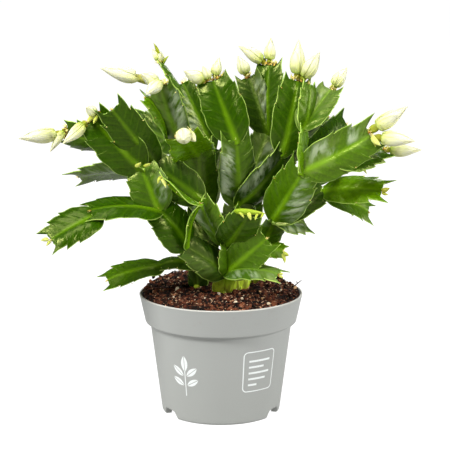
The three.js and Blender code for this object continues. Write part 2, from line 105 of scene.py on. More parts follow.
# Joints of the stems, as in the solids
RIB_HALF = 1.5
WING_HALF = 0.85
EDGE_HALF = 0.36
TOOTH_LEAST = 0.9
TOOTH_SPREAD = 0.35
WAVE_TURNS = 7.5
JOINT_SINK = 2.0
ROOT_SINK = 3.5
ROOT_RADIUS = 3.2
ROOT_DEPTH = 11.0
AREOLE_HALF = 2.2
AREOLE_THICK = 1.4

# The two rows that round a joint's end off: how far ahead they are, and how much thinner, as a share
END_ROWS = ((0.3, 0.35), (0.42, 0.75))

# The photograph's eye: its place, how far it looks down and its focal length in pixels
EYE = np.array([3.0, -1050.0, 336.0])
EYE_PITCH = 0.1858
FOCAL_PIXELS = 1462.0
FRAME_PIXELS = 450
SENSOR = 36.0


def chance(number: Array | int, salt: float = 0.0) -> Array:
    """One draw from 0 to 1 for each number, the same each time for a salt: the fraction of a large sine."""
    value = np.sin((number + 57.0 * salt) * 127.1 + 11.7) * 43758.5453
    return value - np.floor(value)


def draws(count: int, salt: float, columns: int = 3) -> Array:
    """Draws from 0 to 1: a row for each number below count, a column for each salt from the given one."""
    return np.stack([chance(np.arange(count), salt + column) for column in range(columns)], -1)


def place(spot: Spot) -> Array:
    """Where a spot is in space: on the eye's sight line, behind the upright plane through the pot's axis.

    Args:
        spot: Across and up on the plane, as the eye sees it, and how far behind the plane it lies.

    Returns:
        The point.
    """
    across, up, depth = spot
    return EYE + (np.array([across, 0.0, up]) - EYE) * (depth - EYE[1]) / -EYE[1]


def unit(vector: Array) -> Array:
    """The vectors at length one."""
    return vector / np.maximum(np.linalg.norm(vector, axis=-1, keepdims=True), LEAST_LENGTH)


def ease(value: Array, low: float, high: float) -> Array:
    """Rises from 0 at low to 1 at high, flat at both ends: 3s^2 - 2s^3 of the share s of the way."""
    share = np.clip((value - low) / (high - low), 0.0, 1.0)
    return share * share * (3.0 - 2.0 * share)


def circle(steps: int) -> Array:
    """The angles of so many even steps round."""
    return np.arange(steps) / steps * 2.0 * np.pi


def bezier(points: Sequence[Numbers], steps: int) -> Array:
    """A cubic curve through the first and last of four points, bent by the middle two.

    Args:
        points: The four points.
        steps: How many points of the curve are wanted.

    Returns:
        Points along the curve, all but its last.
    """
    u = (np.arange(steps) / steps)[:, None]
    a, b, c, d = (np.array(p, float) for p in points)
    return (1 - u) ** 3 * a + 3 * (1 - u) ** 2 * u * b + 3 * (1 - u) * u**2 * c + u**3 * d


def lattice(cells: Faces, salt: int) -> Array:
    """Draws for whole-numbered cells: their coordinates times large primes, mixed and cut to 24 bits.

    Args:
        cells: The cells, the last axis being their two or three coordinates.
        salt: Sets one series of draws apart from another.

    Returns:
        A draw from 0 to 1 for each cell.
    """
    mixed = cells[..., 0] * 374761393 + cells[..., 1] * 668265263 + salt * 982451653
    if cells.shape[-1] > 2:
        mixed = mixed + cells[..., 2] * 2147483647
    mixed = (mixed ^ (mixed >> 13)) * 1274126177
    mixed = mixed ^ (mixed >> 16)
    return (mixed & 0xFFFFFF) / float(0x1000000)


def cloud(points: Array, size: float, salt: int) -> Array:
    """Smooth noise in space: lattice draws at a cell's eight corners, blended by a smooth step.

    Args:
        points: Places in millimetres, the last axis being x, y, z.
        size: How wide one cell is.
        salt: Sets one noise apart from another.

    Returns:
        One number from 0 to 1 for each place.
    """
    scaled = points / size
    low = np.floor(scaled).astype(np.int64)
    share = scaled - low
    share = share * share * (3.0 - 2.0 * share)
    total = np.zeros(points.shape[:-1])
    for corner in np.ndindex(2, 2, 2):
        weight = np.prod(np.where(np.array(corner) == 1, share, 1.0 - share), axis=-1)
        total += weight * lattice(low + np.array(corner), salt)
    return total


def crumb_domes(x: Array, y: Array, size: float, salt: int) -> tuple[Array, Array]:
    """Crumbs packed on a plane: a dome at a drawn place in each cell, the root of 1 - (distance / reach)^2
    times a draw, of which the highest shows.

    Args:
        x: Places across, in millimetres.
        y: Places along.
        size: How wide one cell is.
        salt: Sets one layer apart from another.

    Returns:
        The height from 0 to 1, and a draw for the crumb that shows.
    """
    low = np.stack([np.floor(x / size), np.floor(y / size)], -1).astype(np.int64)
    height = np.zeros(x.shape)
    tint = np.zeros(x.shape)
    for step in np.ndindex(3, 3):
        cell = low + np.array(step) - 1
        centre_x = (cell[..., 0] + lattice(cell, salt)) * size
        centre_y = (cell[..., 1] + lattice(cell, salt + 1)) * size
        reach = size * (0.5 + 0.55 * lattice(cell, salt + 2))
        dome = 1.0 - ((x - centre_x) ** 2 + (y - centre_y) ** 2) / reach**2
        dome = np.sqrt(np.clip(dome, 0.0, None)) * (0.55 + 0.45 * lattice(cell, salt + 3))
        shows = dome > height
        height = np.where(shows, dome, height)
        tint = np.where(shows, lattice(cell, salt + 4), tint)
    return height, tint


@dataclass
class Shell:
    """A closed surface in millimetres, with the numbers that are painted on its points."""

    points: Array
    faces: list[Faces]
    paint: dict[str, Array] = field(default_factory=dict)

    def painted(self, **values: float | Array) -> "Shell":
        """Paints more numbers on the points.

        Args:
            values: By name, one number for all points or one for each.

        Returns:
            The same surface.
        """
        for name, value in values.items():
            self.paint[name] = np.broadcast_to(np.asarray(value, float), (len(self.points),)).copy()
        return self

    @staticmethod
    def joined(shells: Sequence["Shell"]) -> "Shell":
        """Several surfaces as one.

        Args:
            shells: The surfaces; a number that one of them lacks is 0 there.

        Returns:
            One surface that has all their points and faces.
        """
        starts = np.cumsum([0] + [len(shell.points) for shell in shells])
        faces = [f + start for shell, start in zip(shells, starts) for f in shell.faces]
        names = sorted({name for shell in shells for name in shell.paint})
        paint = {
            name: np.concatenate([s.paint.get(name, np.zeros(len(s.points))) for s in shells])
            for name in names
        }
        return Shell(np.concatenate([shell.points for shell in shells]), faces, paint)


def ring_faces(rows: int, around: int) -> Faces:
    """Quads between rows of closed rings.

    Args:
        rows: How many rings.
        around: How many points a ring has.

    Returns:
        The quads, which face out where a ring runs anticlockwise seen from the rows ahead.
    """
    row, step = np.meshgrid(np.arange(rows - 1), np.arange(around), indexing="ij")
    ahead = (step + 1) % around
    near, far = row * around, (row + 1) * around
    return np.stack([near + step, near + ahead, far + ahead, far + step], -1).reshape(-1, 4)


def closed_strip(upper: Array, lower: Array, paint: dict[str, Array]) -> Shell:
    """A flat body from a grid of its upper face and a like grid of its lower one, with shared side edges.

    Each row of the two grids becomes one ring, upper face out and lower face back, and the first and last
    rings are closed straight across.

    Args:
        upper: Points of the upper face, rows by columns by 3, running so that rows x columns points up.
        lower: Points of the lower face.
        paint: Numbers for rows by columns, the same on both faces.

    Returns:
        The closed body.
    """
    rows, columns = upper.shape[:2]

    def ring(above: Array, below: Array) -> Array:
        """The upper row and the lower one back, without the two edges again."""
        return np.concatenate([above, below[:, -2:0:-1]], axis=1)

    around = 2 * columns - 2
    points = ring(upper, lower).reshape(-1, 3)
    step = np.arange(columns - 1)
    mirror = (around - step) % around
    ahead = (around - step - 1) % around
    end = np.stack([step, step + 1, ahead, mirror], -1)
    first, middle, last = end[:1, [0, 1, 2]], end[1:-1], end[-1:, [0, 1, 3]]
    far = (rows - 1) * around
    faces = [ring_faces(rows, around)]
    for cap in (first, middle, last):
        faces += [cap[:, ::-1], cap + far]
    values = {name: ring(grid, grid).reshape(-1) for name, grid in paint.items()}
    return Shell(points, faces, values)


def turned(radius: Array, height: Array) -> Shell:
    """A body turned round Z, whose first and last rows become one point each on the axis.

    The rows run so that the body lies on the left of the profile: up its outside and down its inside.

    Args:
        radius: How far from the axis each point is, rows by steps round.
        height: How high it is, of the same shape or one number for a row.

    Returns:
        The closed body.
    """
    radius, height = np.broadcast_arrays(radius, height)
    rows, around = radius.shape
    angle = circle(around)
    grid = np.stack([radius * np.cos(angle), radius * np.sin(angle), height], -1)
    grid[[0, -1], :, :2] = 0.0
    points = np.concatenate([grid[:1, 0], grid[1:-1].reshape(-1, 3), grid[-1:, 0]])
    step = np.arange(around)
    ahead = (step + 1) % around
    first = np.stack([np.zeros_like(step), 1 + ahead, 1 + step], -1)
    base = 1 + (rows - 3) * around
    last = np.stack([base + step, base + ahead, np.full_like(step, len(points) - 1)], -1)
    return Shell(points, [first, ring_faces(rows - 2, around) + 1, last])


def carried(shell: Shell, start: Array, end: Array, spin: float = 0.0, bend: float = 0.0) -> Shell:
    """Carries a body that was made along Z, from 0 to 1, onto a line that may bow aside, as 4s(1 - s).

    Args:
        shell: The body.
        start: Where its foot goes.
        end: Where its top goes.
        spin: How far it is turned about the line, in radians.
        bend: How far the line's middle stands aside, as a share of its length.

    Returns:
        The same body, in place.
    """
    along = end - start
    length = float(np.linalg.norm(along))
    along = along / length
    helper = UP if abs(along[2]) < 0.9 else -TO_VIEWER
    side = unit(np.cross(helper, along))
    front = np.cross(along, side)
    cosine, sine = math.cos(spin), math.sin(spin)
    x_axis, y_axis = cosine * side + sine * front, cosine * front - sine * side
    x, y, z = shell.points.T[:, :, None]
    bow = bend * length * 4.0 * z * (1.0 - z) * x_axis
    shell.points = start + x * x_axis + y * y_axis + z * length * along + bow
    return shell


def spikes(bases: Array, tips: Array, radius: Array) -> Shell:
    """Three-sided spikes, many at once, each from a small triangle round its base to a point.

    Args:
        bases: Middle of each foot.
        tips: Each point.
        radius: How wide each foot is.

    Returns:
        All the spikes, with four points each.
    """
    along = unit(tips - bases)
    side = unit(np.cross(along, np.array([0.31, 0.52, 0.79])))
    front = np.cross(along, side)
    angle = circle(3)[None, :, None]
    ring = side[:, None] * np.cos(angle) + front[:, None] * np.sin(angle)
    points = np.concatenate([bases[:, None] + ring * radius[:, None, None], tips[:, None]], axis=1)
    faces = np.array([[0, 1, 3], [1, 2, 3], [2, 0, 3], [0, 2, 1]])
    every = (np.arange(len(bases))[:, None, None] * 4 + faces).reshape(-1, 3)
    return Shell(points.reshape(-1, 3), [every])


def icosphere() -> tuple[Array, Faces]:
    """A ball of 20 faces, each cut in four.

    Returns:
        Its points and its triangles.
    """
    gold = (1.0 + 5.0**0.5) / 2.0
    corners = np.array([(-1, gold, 0), (1, gold, 0), (-1, -gold, 0), (1, -gold, 0)])
    faces = [(0, 11, 5), (0, 5, 1), (0, 1, 7), (0, 7, 10), (0, 10, 11), (1, 5, 9), (5, 11, 4)]
    faces += [(11, 10, 2), (10, 7, 6), (7, 1, 8), (3, 9, 4), (3, 4, 2), (3, 2, 6), (3, 6, 8)]
    faces += [(3, 8, 9), (4, 9, 5), (2, 4, 11), (6, 2, 10), (8, 6, 7), (9, 8, 1)]
    points = unit(np.concatenate([np.roll(corners, axis, axis=1) for axis in range(3)]))
    triangles = np.array(faces)
    ends = np.sort(triangles[:, [0, 1, 1, 2, 2, 0]].reshape(-1, 2), axis=1)
    pairs, which = np.unique(ends, axis=0, return_inverse=True)
    middle = which.reshape(-1, 3) + len(points)
    a, b, c = triangles.T
    ab, bc, ca = middle.T
    quarters = [(a, ab, ca), (b, bc, ab), (c, ca, bc), (ab, bc, ca)]
    points = np.concatenate([points, unit(points[pairs].mean(axis=1))])
    return points, np.concatenate([np.stack(q, -1) for q in quarters])


def lumps(centres: Array, sizes: Array, salt: float, rough: float = 0.28) -> Shell:
    """Small uneven lumps, many at once: a ball, turned and stretched by draws, each point moved in or out.

    Args:
        centres: Middle of each lump, in millimetres.
        sizes: Half width along the lump's own three directions.
        salt: Sets one set of lumps apart from another.
        rough: How far a point moves in or out, as a share.

    Returns:
        All the lumps, each painted with its own draw as "tint".
    """
    ball, faces = icosphere()
    number = np.arange(len(centres))
    jitter = chance(number[:, None] * 42.0 + np.arange(len(ball))[None], salt)
    local = ball[None] * (1.0 - rough + 2.0 * rough * jitter[..., None]) * sizes[:, None]
    first = unit(draws(len(centres), salt + 1) - 0.5)
    second = unit(np.cross(first, np.array([0.3, 0.8, 0.5])))
    axes = np.stack([first, second, np.cross(first, second)], axis=1)
    points = centres[:, None] + np.einsum("nvk,nkd->nvd", local, axes)
    every = (number[:, None, None] * len(ball) + faces).reshape(-1, 3)
    shell = Shell(points.reshape(-1, 3), [every])
    return shell.painted(tint=np.repeat(chance(number, salt + 4), len(ball)))


def add_object(name: str, data: bpy.types.ID) -> bpy.types.Object:
    """Puts a new object into the scene.

    Args:
        name: Its name.
        data: Its mesh, light or camera.

    Returns:
        The object.
    """
    made = bpy.data.objects.new(name, data)
    bpy.context.scene.collection.objects.link(made)
    return made


def make_piece(
    name: str, shell: Shell, material: Material, stands_for: Sequence[str] = ()
) -> bpy.types.Object:
    """Puts a body into Blender, in metres, smooth and with its painted numbers, and tells the frame of it.

    Args:
        name: The piece's name.
        shell: Its closed surface.
        material: Its finish.
        stands_for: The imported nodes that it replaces.

    Returns:
        The new object.
    """
    corners = np.concatenate([f.reshape(-1) for f in shell.faces]).astype(np.int32)
    sizes = np.concatenate([np.full(len(f), f.shape[1]) for f in shell.faces])
    starts = np.concatenate([[0], np.cumsum(sizes)[:-1]]).astype(np.int32)
    mesh = bpy.data.meshes.new(name)
    mesh.vertices.add(len(shell.points))
    mesh.vertices.foreach_set("co", (shell.points * MM).astype(np.float32).ravel())
    mesh.loops.add(len(corners))
    mesh.loops.foreach_set("vertex_index", corners)
    mesh.polygons.add(len(sizes))
    mesh.polygons.foreach_set("loop_start", starts)
    mesh.polygons.foreach_set("use_smooth", np.ones(len(sizes), bool))
    for label, values in shell.paint.items():
        mesh.attributes.new(label, "FLOAT", "POINT").data.foreach_set("value", values.astype(np.float32))
    mesh.update(calc_edges=True)
    mesh.validate()
    mesh.materials.append(material)
    piece = add_object(name, mesh)
    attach(piece, BODY)
    if stands_for:
        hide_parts(*stands_for)
    log.info("%s: %d faces", name, len(sizes))
    return piece


def srgb(red: int, green: int, blue: int) -> Colour:
    """A colour as a picture stores it, 0 to 255, as the linear numbers that a material takes."""
    shares = [c / 255.0 for c in (red, green, blue)]
    return tuple(s / 12.92 if s <= 0.04045 else ((s + 0.055) / 1.055) ** 2.4 for s in shares)


def maths(operation: str, reflected: bool = False) -> Callable[..., "Value"]:
    """A method that adds one Math node, to which the value itself goes first or, where reflected, last.

    Args:
        operation: The node's operation.
        reflected: Whether the value goes last.

    Returns:
        The method.
    """

    def method(self: "Value", *others: "Value | float") -> "Value":
        """Adds the node."""
        given = (*others, self) if reflected else (self, *others)
        return self.shader.node("Math", {"operation": operation}, dict(enumerate(given)))

    return method


class Value:
    """A number that a material works out: one socket, with the maths that the finishes use."""

    __add__, __radd__ = maths("ADD"), maths("ADD", True)
    __sub__, __rsub__ = maths("SUBTRACT"), maths("SUBTRACT", True)
    __mul__, __rmul__ = maths("MULTIPLY"), maths("MULTIPLY", True)
    __truediv__, __pow__, __abs__ = maths("DIVIDE"), maths("POWER"), maths("ABSOLUTE")
    sine, turn_from = maths("SINE"), maths("ARCTAN2")
    most, least = maths("MAXIMUM"), maths("MINIMUM")

    def __init__(self, shader: "Shader", socket: bpy.types.NodeSocket) -> None:
        """Keeps the socket and the shader that it is in."""
        self.shader = shader
        self.socket = socket

    def rise(self, low: float, high: float) -> "Value":
        """Rises smoothly from 0 where self is low to 1 where it is high."""
        limits = {"Value": self, "From Min": low, "From Max": high}
        return self.shader.node("MapRange", {"interpolation_type": "SMOOTHSTEP"}, limits)


class Shader:
    """Builds the nodes of one material, or of the world."""

    def __init__(self, owner: Material | bpy.types.World) -> None:
        """Empties the owner's node tree.

        Args:
            owner: The material or the world.
        """
        owner.use_nodes = True
        self.owner = owner
        self.tree = owner.node_tree
        self.tree.nodes.clear()

    @classmethod
    def named(cls, name: str) -> "Shader":
        """The shader of a new material."""
        return cls(bpy.data.materials.new(name))

    @cached_property
    def places(self) -> Value:
        """The object coordinates, in metres."""
        return self.node("TexCoord", output="Object")

    def node(
        self, kind: str, settings: dict | None = None, sockets: dict | None = None, output: str | int = 0
    ) -> Value:
        """Adds a node.

        Args:
            kind: The node's type, without its first word.
            settings: Its own settings, set before its sockets.
            sockets: Numbers, colours or links for its inputs, by name or by number.
            output: Which output is wanted, by name or by number among those in use.

        Returns:
            The wanted output.
        """
        made = self.tree.nodes.new("ShaderNode" + kind)
        for key, setting in (settings or {}).items():
            setattr(made, key, setting)
        inputs = [s for s in made.inputs if s.enabled]
        outputs = [s for s in made.outputs if s.enabled]
        for key, given in (sockets or {}).items():
            target = inputs[key] if isinstance(key, int) else next(s for s in inputs if s.name == key)
            if isinstance(given, Value):
                self.tree.links.new(given.socket, target)
            else:
                target.default_value = (*given, 1.0) if target.type == "RGBA" else given
        found = outputs[output] if isinstance(output, int) else next(s for s in outputs if s.name == output)
        return Value(self, found)

    def close(self, kind: str, shader: Value) -> None:
        """Links a shader to an output node of that type."""
        out = self.tree.nodes.new("ShaderNode" + kind)
        self.tree.links.new(shader.socket, out.inputs["Surface"])

    def painted(self, name: str) -> Value:
        """A number that is painted on the mesh."""
        return self.node("Attribute", {"attribute_name": name}, output="Fac")

    def axis(self, name: str) -> Value:
        """One of the object coordinates, in metres."""
        return self.node("SeparateXYZ", None, {0: self.places}, output=name)

    def noise(self, per_metre: float, detail: float = 3.0, roughness: float = 0.55) -> Value:
        """Soft noise from 0 to 1, with so many waves in a metre."""
        values = {"Vector": self.places, "Scale": per_metre, "Detail": detail, "Roughness": roughness}
        return self.node("TexNoise", None, values)

    def grain(self, first: Value, second: Value, third: Value, detail: float = 3.0) -> Value:
        """Noise over three given coordinates, one cell for each whole number."""
        joined = self.node("CombineXYZ", None, {"X": first, "Y": second, "Z": third})
        return self.node("TexNoise", None, {"Vector": joined, "Scale": 1.0, "Detail": detail})

    def cells(self, per_metre: float) -> Value:
        """Distance to the nearest of so many scattered places in a metre."""
        return self.node("TexVoronoi", None, {"Vector": self.places, "Scale": per_metre}, "Distance")

    def mix(self, share: Value | float, first: Value | Colour, second: Value | Colour) -> Value:
        """The first colour, turned into the second by that share."""
        return self.node("Mix", {"data_type": "RGBA"}, {"Factor": share, "A": first, "B": second})

    def layers(self, base: Value | Colour, *over: tuple[Value, Colour]) -> Value:
        """Lays colours over each other.

        Args:
            base: The lowest colour.
            over: For each further one the share of it that shows, and the colour.

        Returns:
            The colour that they make.
        """
        for share, colour in over:
            base = self.mix(share, base, colour)
        return base

    def bump(self, height: Value, distance: float, strength: float = 1.0) -> Value:
        """Surface directions that a height from 0 to 1 gives, at that many metres for 1."""
        return self.node("Bump", None, {"Strength": strength, "Distance": distance, "Height": height})

    def surface(
        self, colour: Value | Colour, roughness: Value | float, normal: Value | None = None,
        **constants: float | Colour,
    ) -> Material:
        """Closes the material with a Principled shader.

        Args:
            colour: Base colour.
            roughness: Roughness.
            normal: Surface directions, where they are worked out.
            constants: Further sockets, named with _ for each space, all the same all over the surface.

        Returns:
            The finished material.
        """
        values: dict = {"Base Color": colour, "Roughness": roughness}
        if normal is not None:
            values["Normal"] = normal
        values.update({key.replace("_", " "): value for key, value in constants.items()})
        self.close("OutputMaterial", self.node("BsdfPrincipled", None, values))
        return self.owner


@dataclass(frozen=True)
class StemSkin:
    """Waxy skin of the joints: deep green, lighter along rib and rim, with faint veins, pale bloom that is
    partly painted sheen, painted shade and painted highlights.
    """

    deep: Colour = srgb(40, 76, 0)
    fresh: Colour = srgb(92, 134, 0)
    # painted shade: the dark green laid on joints that sit in shade; it is also the colour of random dark
    # mottling
    shade: Colour = srgb(8, 32, 0)
    # pale bloom: partly real wax bloom, partly painted sheen on the raised parts
    bloom: Colour = srgb(130, 150, 78)
    # painted highlight: the pale colour laid on one wing where a highlight falls
    painted_highlight_colour: Colour = srgb(196, 208, 176)
    rib: Colour = srgb(126, 172, 14)
    rim: Colour = srgb(178, 208, 98)
    old: Colour = srgb(188, 210, 58)
    cork: Colour = srgb(78, 74, 28)
    gleam: Colour = (0.92, 1.0, 0.3)
    within: Spot = (0.5, 1.0, 0.15)

    def material(self) -> Material:
        """Lays the greens over each other by what is painted on the joints, and raises veins and creases.

        Returns:
            The finish.
        """
        s = Shader.named("stem_skin")
        along, shade, old = s.painted("along"), s.painted("shade"), s.painted("old")
        off_rib, off_edge = s.painted("off_rib"), s.painted("off_edge")
        bloom, vein_run = s.painted("bloom"), s.painted("vein_run")
        patches = s.noise(70.0)
        ridge = (vein_run * (2.0 * math.pi)).sine()
        between = off_rib.rise(1.5, 4.0) * off_edge.rise(0.4, 2.5)
        vein = ridge.rise(0.55, 1.0) * between
        creases = s.grain(vein_run * 1.6, off_rib * 0.15, s.axis("X") * 20.0, 5.0)
        # bloom is laid strongest on the raised parts of the relief, so it is partly painted sheen
        raised = (s.painted("raised") + 0.9 * (creases - 0.5)).rise(0.4, 0.75)
        bloom_and_painted_sheen_share = bloom * (0.2 + 0.8 * raised) * (1.0 - 0.25 * vein)
        by_rib = 1.0 - (off_rib / (1.15 - 0.75 * along)).rise(0.0, 4.0)
        # the lighter rib fades where painted shade is laid
        on_rib = by_rib * (1.0 - 0.6 * along) * (0.5 + 0.8 * patches) * (1.0 - 0.9 * shade)
        on_rim = (1.0 - off_edge.rise(0.08, 0.6)) * s.noise(120.0, 2.0).rise(0.15, 0.55)
        fibres = s.grain(s.axis("X") * 420.0, s.axis("Y") * 420.0, s.axis("Z") * 70.0).rise(0.42, 0.66)
        colour = s.layers(
            self.deep,
            (s.painted("fresh") * (0.75 + 0.5 * patches), self.fresh),
            # painted shade on joints that sit in shade
            (shade * 0.85, self.shade),
            # random dark mottling
            (s.noise(420.0, 4.0, 0.6).rise(0.35, 0.75) * 0.34, self.shade),
            (vein * (0.05 + 0.1 * bloom), self.rib),
            (bloom_and_painted_sheen_share * 0.8, self.bloom),
            # painted highlight on one wing, in streaks along the creases
            (s.painted("sheen") * creases.rise(0.36, 0.62), self.painted_highlight_colour),
            (on_rib * 0.76, self.rib),
            (on_rim * 0.85, self.rim),
            (old, self.old),
            (old * fibres * 0.85, self.cork),
        )
        pores = 0.05 * s.noise(900.0, 2.0) + 0.25 * s.noise(240.0, 2.0)
        veins = 0.1 * ridge.rise(-1.0, 1.0) * between
        height = veins + pores + 0.2 * s.noise(110.0, 3.0, 0.5) + 0.95 * creases
        return s.surface(
            colour, 0.19 + 0.14 * patches, s.bump(height, 0.0008, 0.8), Specular_IOR_Level=0.4,
            Specular_Tint=self.gleam, Subsurface_Weight=0.1, Subsurface_Radius=self.within,
            Subsurface_Scale=0.0015,
        )


@dataclass(frozen=True)
class BudPetals:
    """Furled petals: ivory, greener towards their foot, with fine lengthwise lines and painted shade in the
    folds.
    """

    name: str = "bud_petals"
    ivory: Colour = srgb(240, 236, 198)
    yellow: Colour = srgb(221, 224, 138)
    green: Colour = srgb(146, 178, 26)
    olive: Colour = srgb(150, 146, 26)
    # seam: the colour of the fine lines, and also of the painted shade in the folds
    seam_and_fold_shade: Colour = srgb(184, 196, 84)
    within: Spot = (1.0, 0.9, 0.5)

    def material(self) -> Material:
        """Lays ivory, yellow and green along the bud, with fine lines round it and painted shade in the
        folds along the petals' edges.

        Returns:
            The finish.
        """
        s = Shader.named(self.name)
        along, blotch = s.painted("along"), s.noise(160.0) - 0.5
        streak = (s.painted("round") * 30.0 + 2.5 * s.noise(140.0, 2.0)).sine().rise(-0.2, 1.0)
        # painted shade along the petals' edges, where they lie over each other
        fold_shade = 1.0 - s.painted("off_edge").rise(0.1, 1.7)
        colour = s.layers(
            self.yellow,
            ((along + 0.2 * blotch).rise(0.12, 0.72), self.ivory),
            (streak * (1.0 - 0.6 * along) * 0.34, self.seam_and_fold_shade),
            ((1.0 - (along + 0.1 * blotch).rise(0.08, 0.32)) * 0.9, self.green),
            (s.painted("olive"), self.olive),
            # painted shade in the folds
            (fold_shade * (1.0 - 0.35 * along) * 0.5, self.seam_and_fold_shade),
        )
        normal = s.bump(streak * 0.6 + 0.4 * s.noise(600.0, 2.0), 0.0003, 0.5)
        return s.surface(
            colour, 0.45 + 0.1 * s.noise(300.0, 2.0), normal, Subsurface_Weight=0.4,
            Subsurface_Radius=self.within, Subsurface_Scale=0.001, Specular_IOR_Level=0.2,
        )


YOUNG_SKIN = BudPetals(
    "young_skin", ivory=srgb(216, 218, 128), yellow=srgb(196, 204, 74),
    green=srgb(140, 172, 16), seam_and_fold_shade=srgb(158, 176, 46),
)


@dataclass(frozen=True)
class AreoleWool:
    """Tan wool and small dry scales in the notches and at the cut-off ends."""

    tan: Colour = srgb(216, 182, 74)
    brown: Colour = srgb(152, 106, 26)
    pale: Colour = srgb(238, 228, 140)

    def material(self) -> Material:
        """Lays tan and pale over brown by the draw on each bit.

        Returns:
            The finish.
        """
        s = Shader.named("areole_wool")
        tint = s.painted("tint")
        colour = s.layers(self.brown, (tint.rise(0.1, 0.5), self.tan), (tint.rise(0.45, 0.75), self.pale))
        normal = s.bump(s.noise(2500.0, 2.0), 0.0002)
        return s.surface(colour, 0.6 + 0.1 * s.noise(500.0), normal, Specular_IOR_Level=0.3)


@dataclass(frozen=True)
class PeatCrumb:
    """Dark reddish peat: each crumb has its own brown, painted shade darkens the hollows, fine grit on top.
    """

    # dark: the peat's darkest brown, and also the painted shade in the hollows
    dark: Colour = srgb(14, 7, 4)
    brown: Colour = srgb(92, 45, 27)
    rust: Colour = srgb(152, 96, 64)
    fleck: Colour = srgb(226, 184, 146)

    def material(self) -> Material:
        """Lays the browns over each other by crumb, height and grit.

        Returns:
            The finish.
        """
        s = Shader.named("peat_crumb")
        tint, high, fine = s.painted("tint"), s.painted("high"), s.noise(1900.0, 5.0, 0.7)
        flecks = s.noise(560.0, 1.0).rise(0.66, 0.71) * high.rise(0.2, 0.5)
        colour = s.layers(
            self.dark,
            (tint.rise(0.3, 0.8), self.brown),
            ((tint * fine).rise(0.32, 0.5) * 0.72, self.rust),
            # painted shade in the hollows between crumbs
            ((1.0 - high.rise(0.12, 0.62)) * 0.92, self.dark),
            (flecks * 0.75, self.fleck),
        )
        normal = s.bump(fine * 0.7 + s.cells(1500.0) * 0.6, 0.0007)
        return s.surface(colour, 0.82 + 0.14 * fine, normal, Specular_IOR_Level=0.16)


@dataclass(frozen=True)
class PaleGrain:
    """Pale mineral and wood bits in the peat."""

    white: Colour = srgb(232, 214, 182)
    straw: Colour = srgb(200, 154, 104)
    dust: Colour = srgb(110, 72, 48)

    def material(self) -> Material:
        """Lays straw over white, and brown dust in the pores.

        Returns:
            The finish.
        """
        s = Shader.named("pale_grain")
        pores = s.noise(1100.0, 4.0, 0.7).rise(0.5, 0.72) * 0.7
        colour = s.layers(self.white, (s.painted("tint").rise(0.35, 0.8), self.straw), (pores, self.dust))
        return s.surface(colour, 0.7 + 0.2 * s.noise(700.0), s.bump(s.noise(1800.0), 0.0003))


@dataclass(frozen=True)
class DryTwig:
    """Withered brown fibre and twig."""

    dark: Colour = srgb(48, 34, 24)
    tan: Colour = srgb(178, 134, 84)

    def material(self) -> Material:
        """Lays tan over dark by the draw on each bit.

        Returns:
            The finish.
        """
        s = Shader.named("dry_twig")
        grain = s.noise(1300.0, 4.0)
        colour = s.mix((s.painted("tint") * (0.6 + 0.8 * grain)).rise(0.2, 0.7), self.dark, self.tan)
        return s.surface(colour, 0.8 + 0.1 * grain, s.bump(grain, 0.0002))


@dataclass(frozen=True)
class Leaflet:
    """One leaf of the printed sprig: its middle and slope on the wall, and its half length and width."""

    across: float
    up: float
    slope: float
    long: float
    wide: float


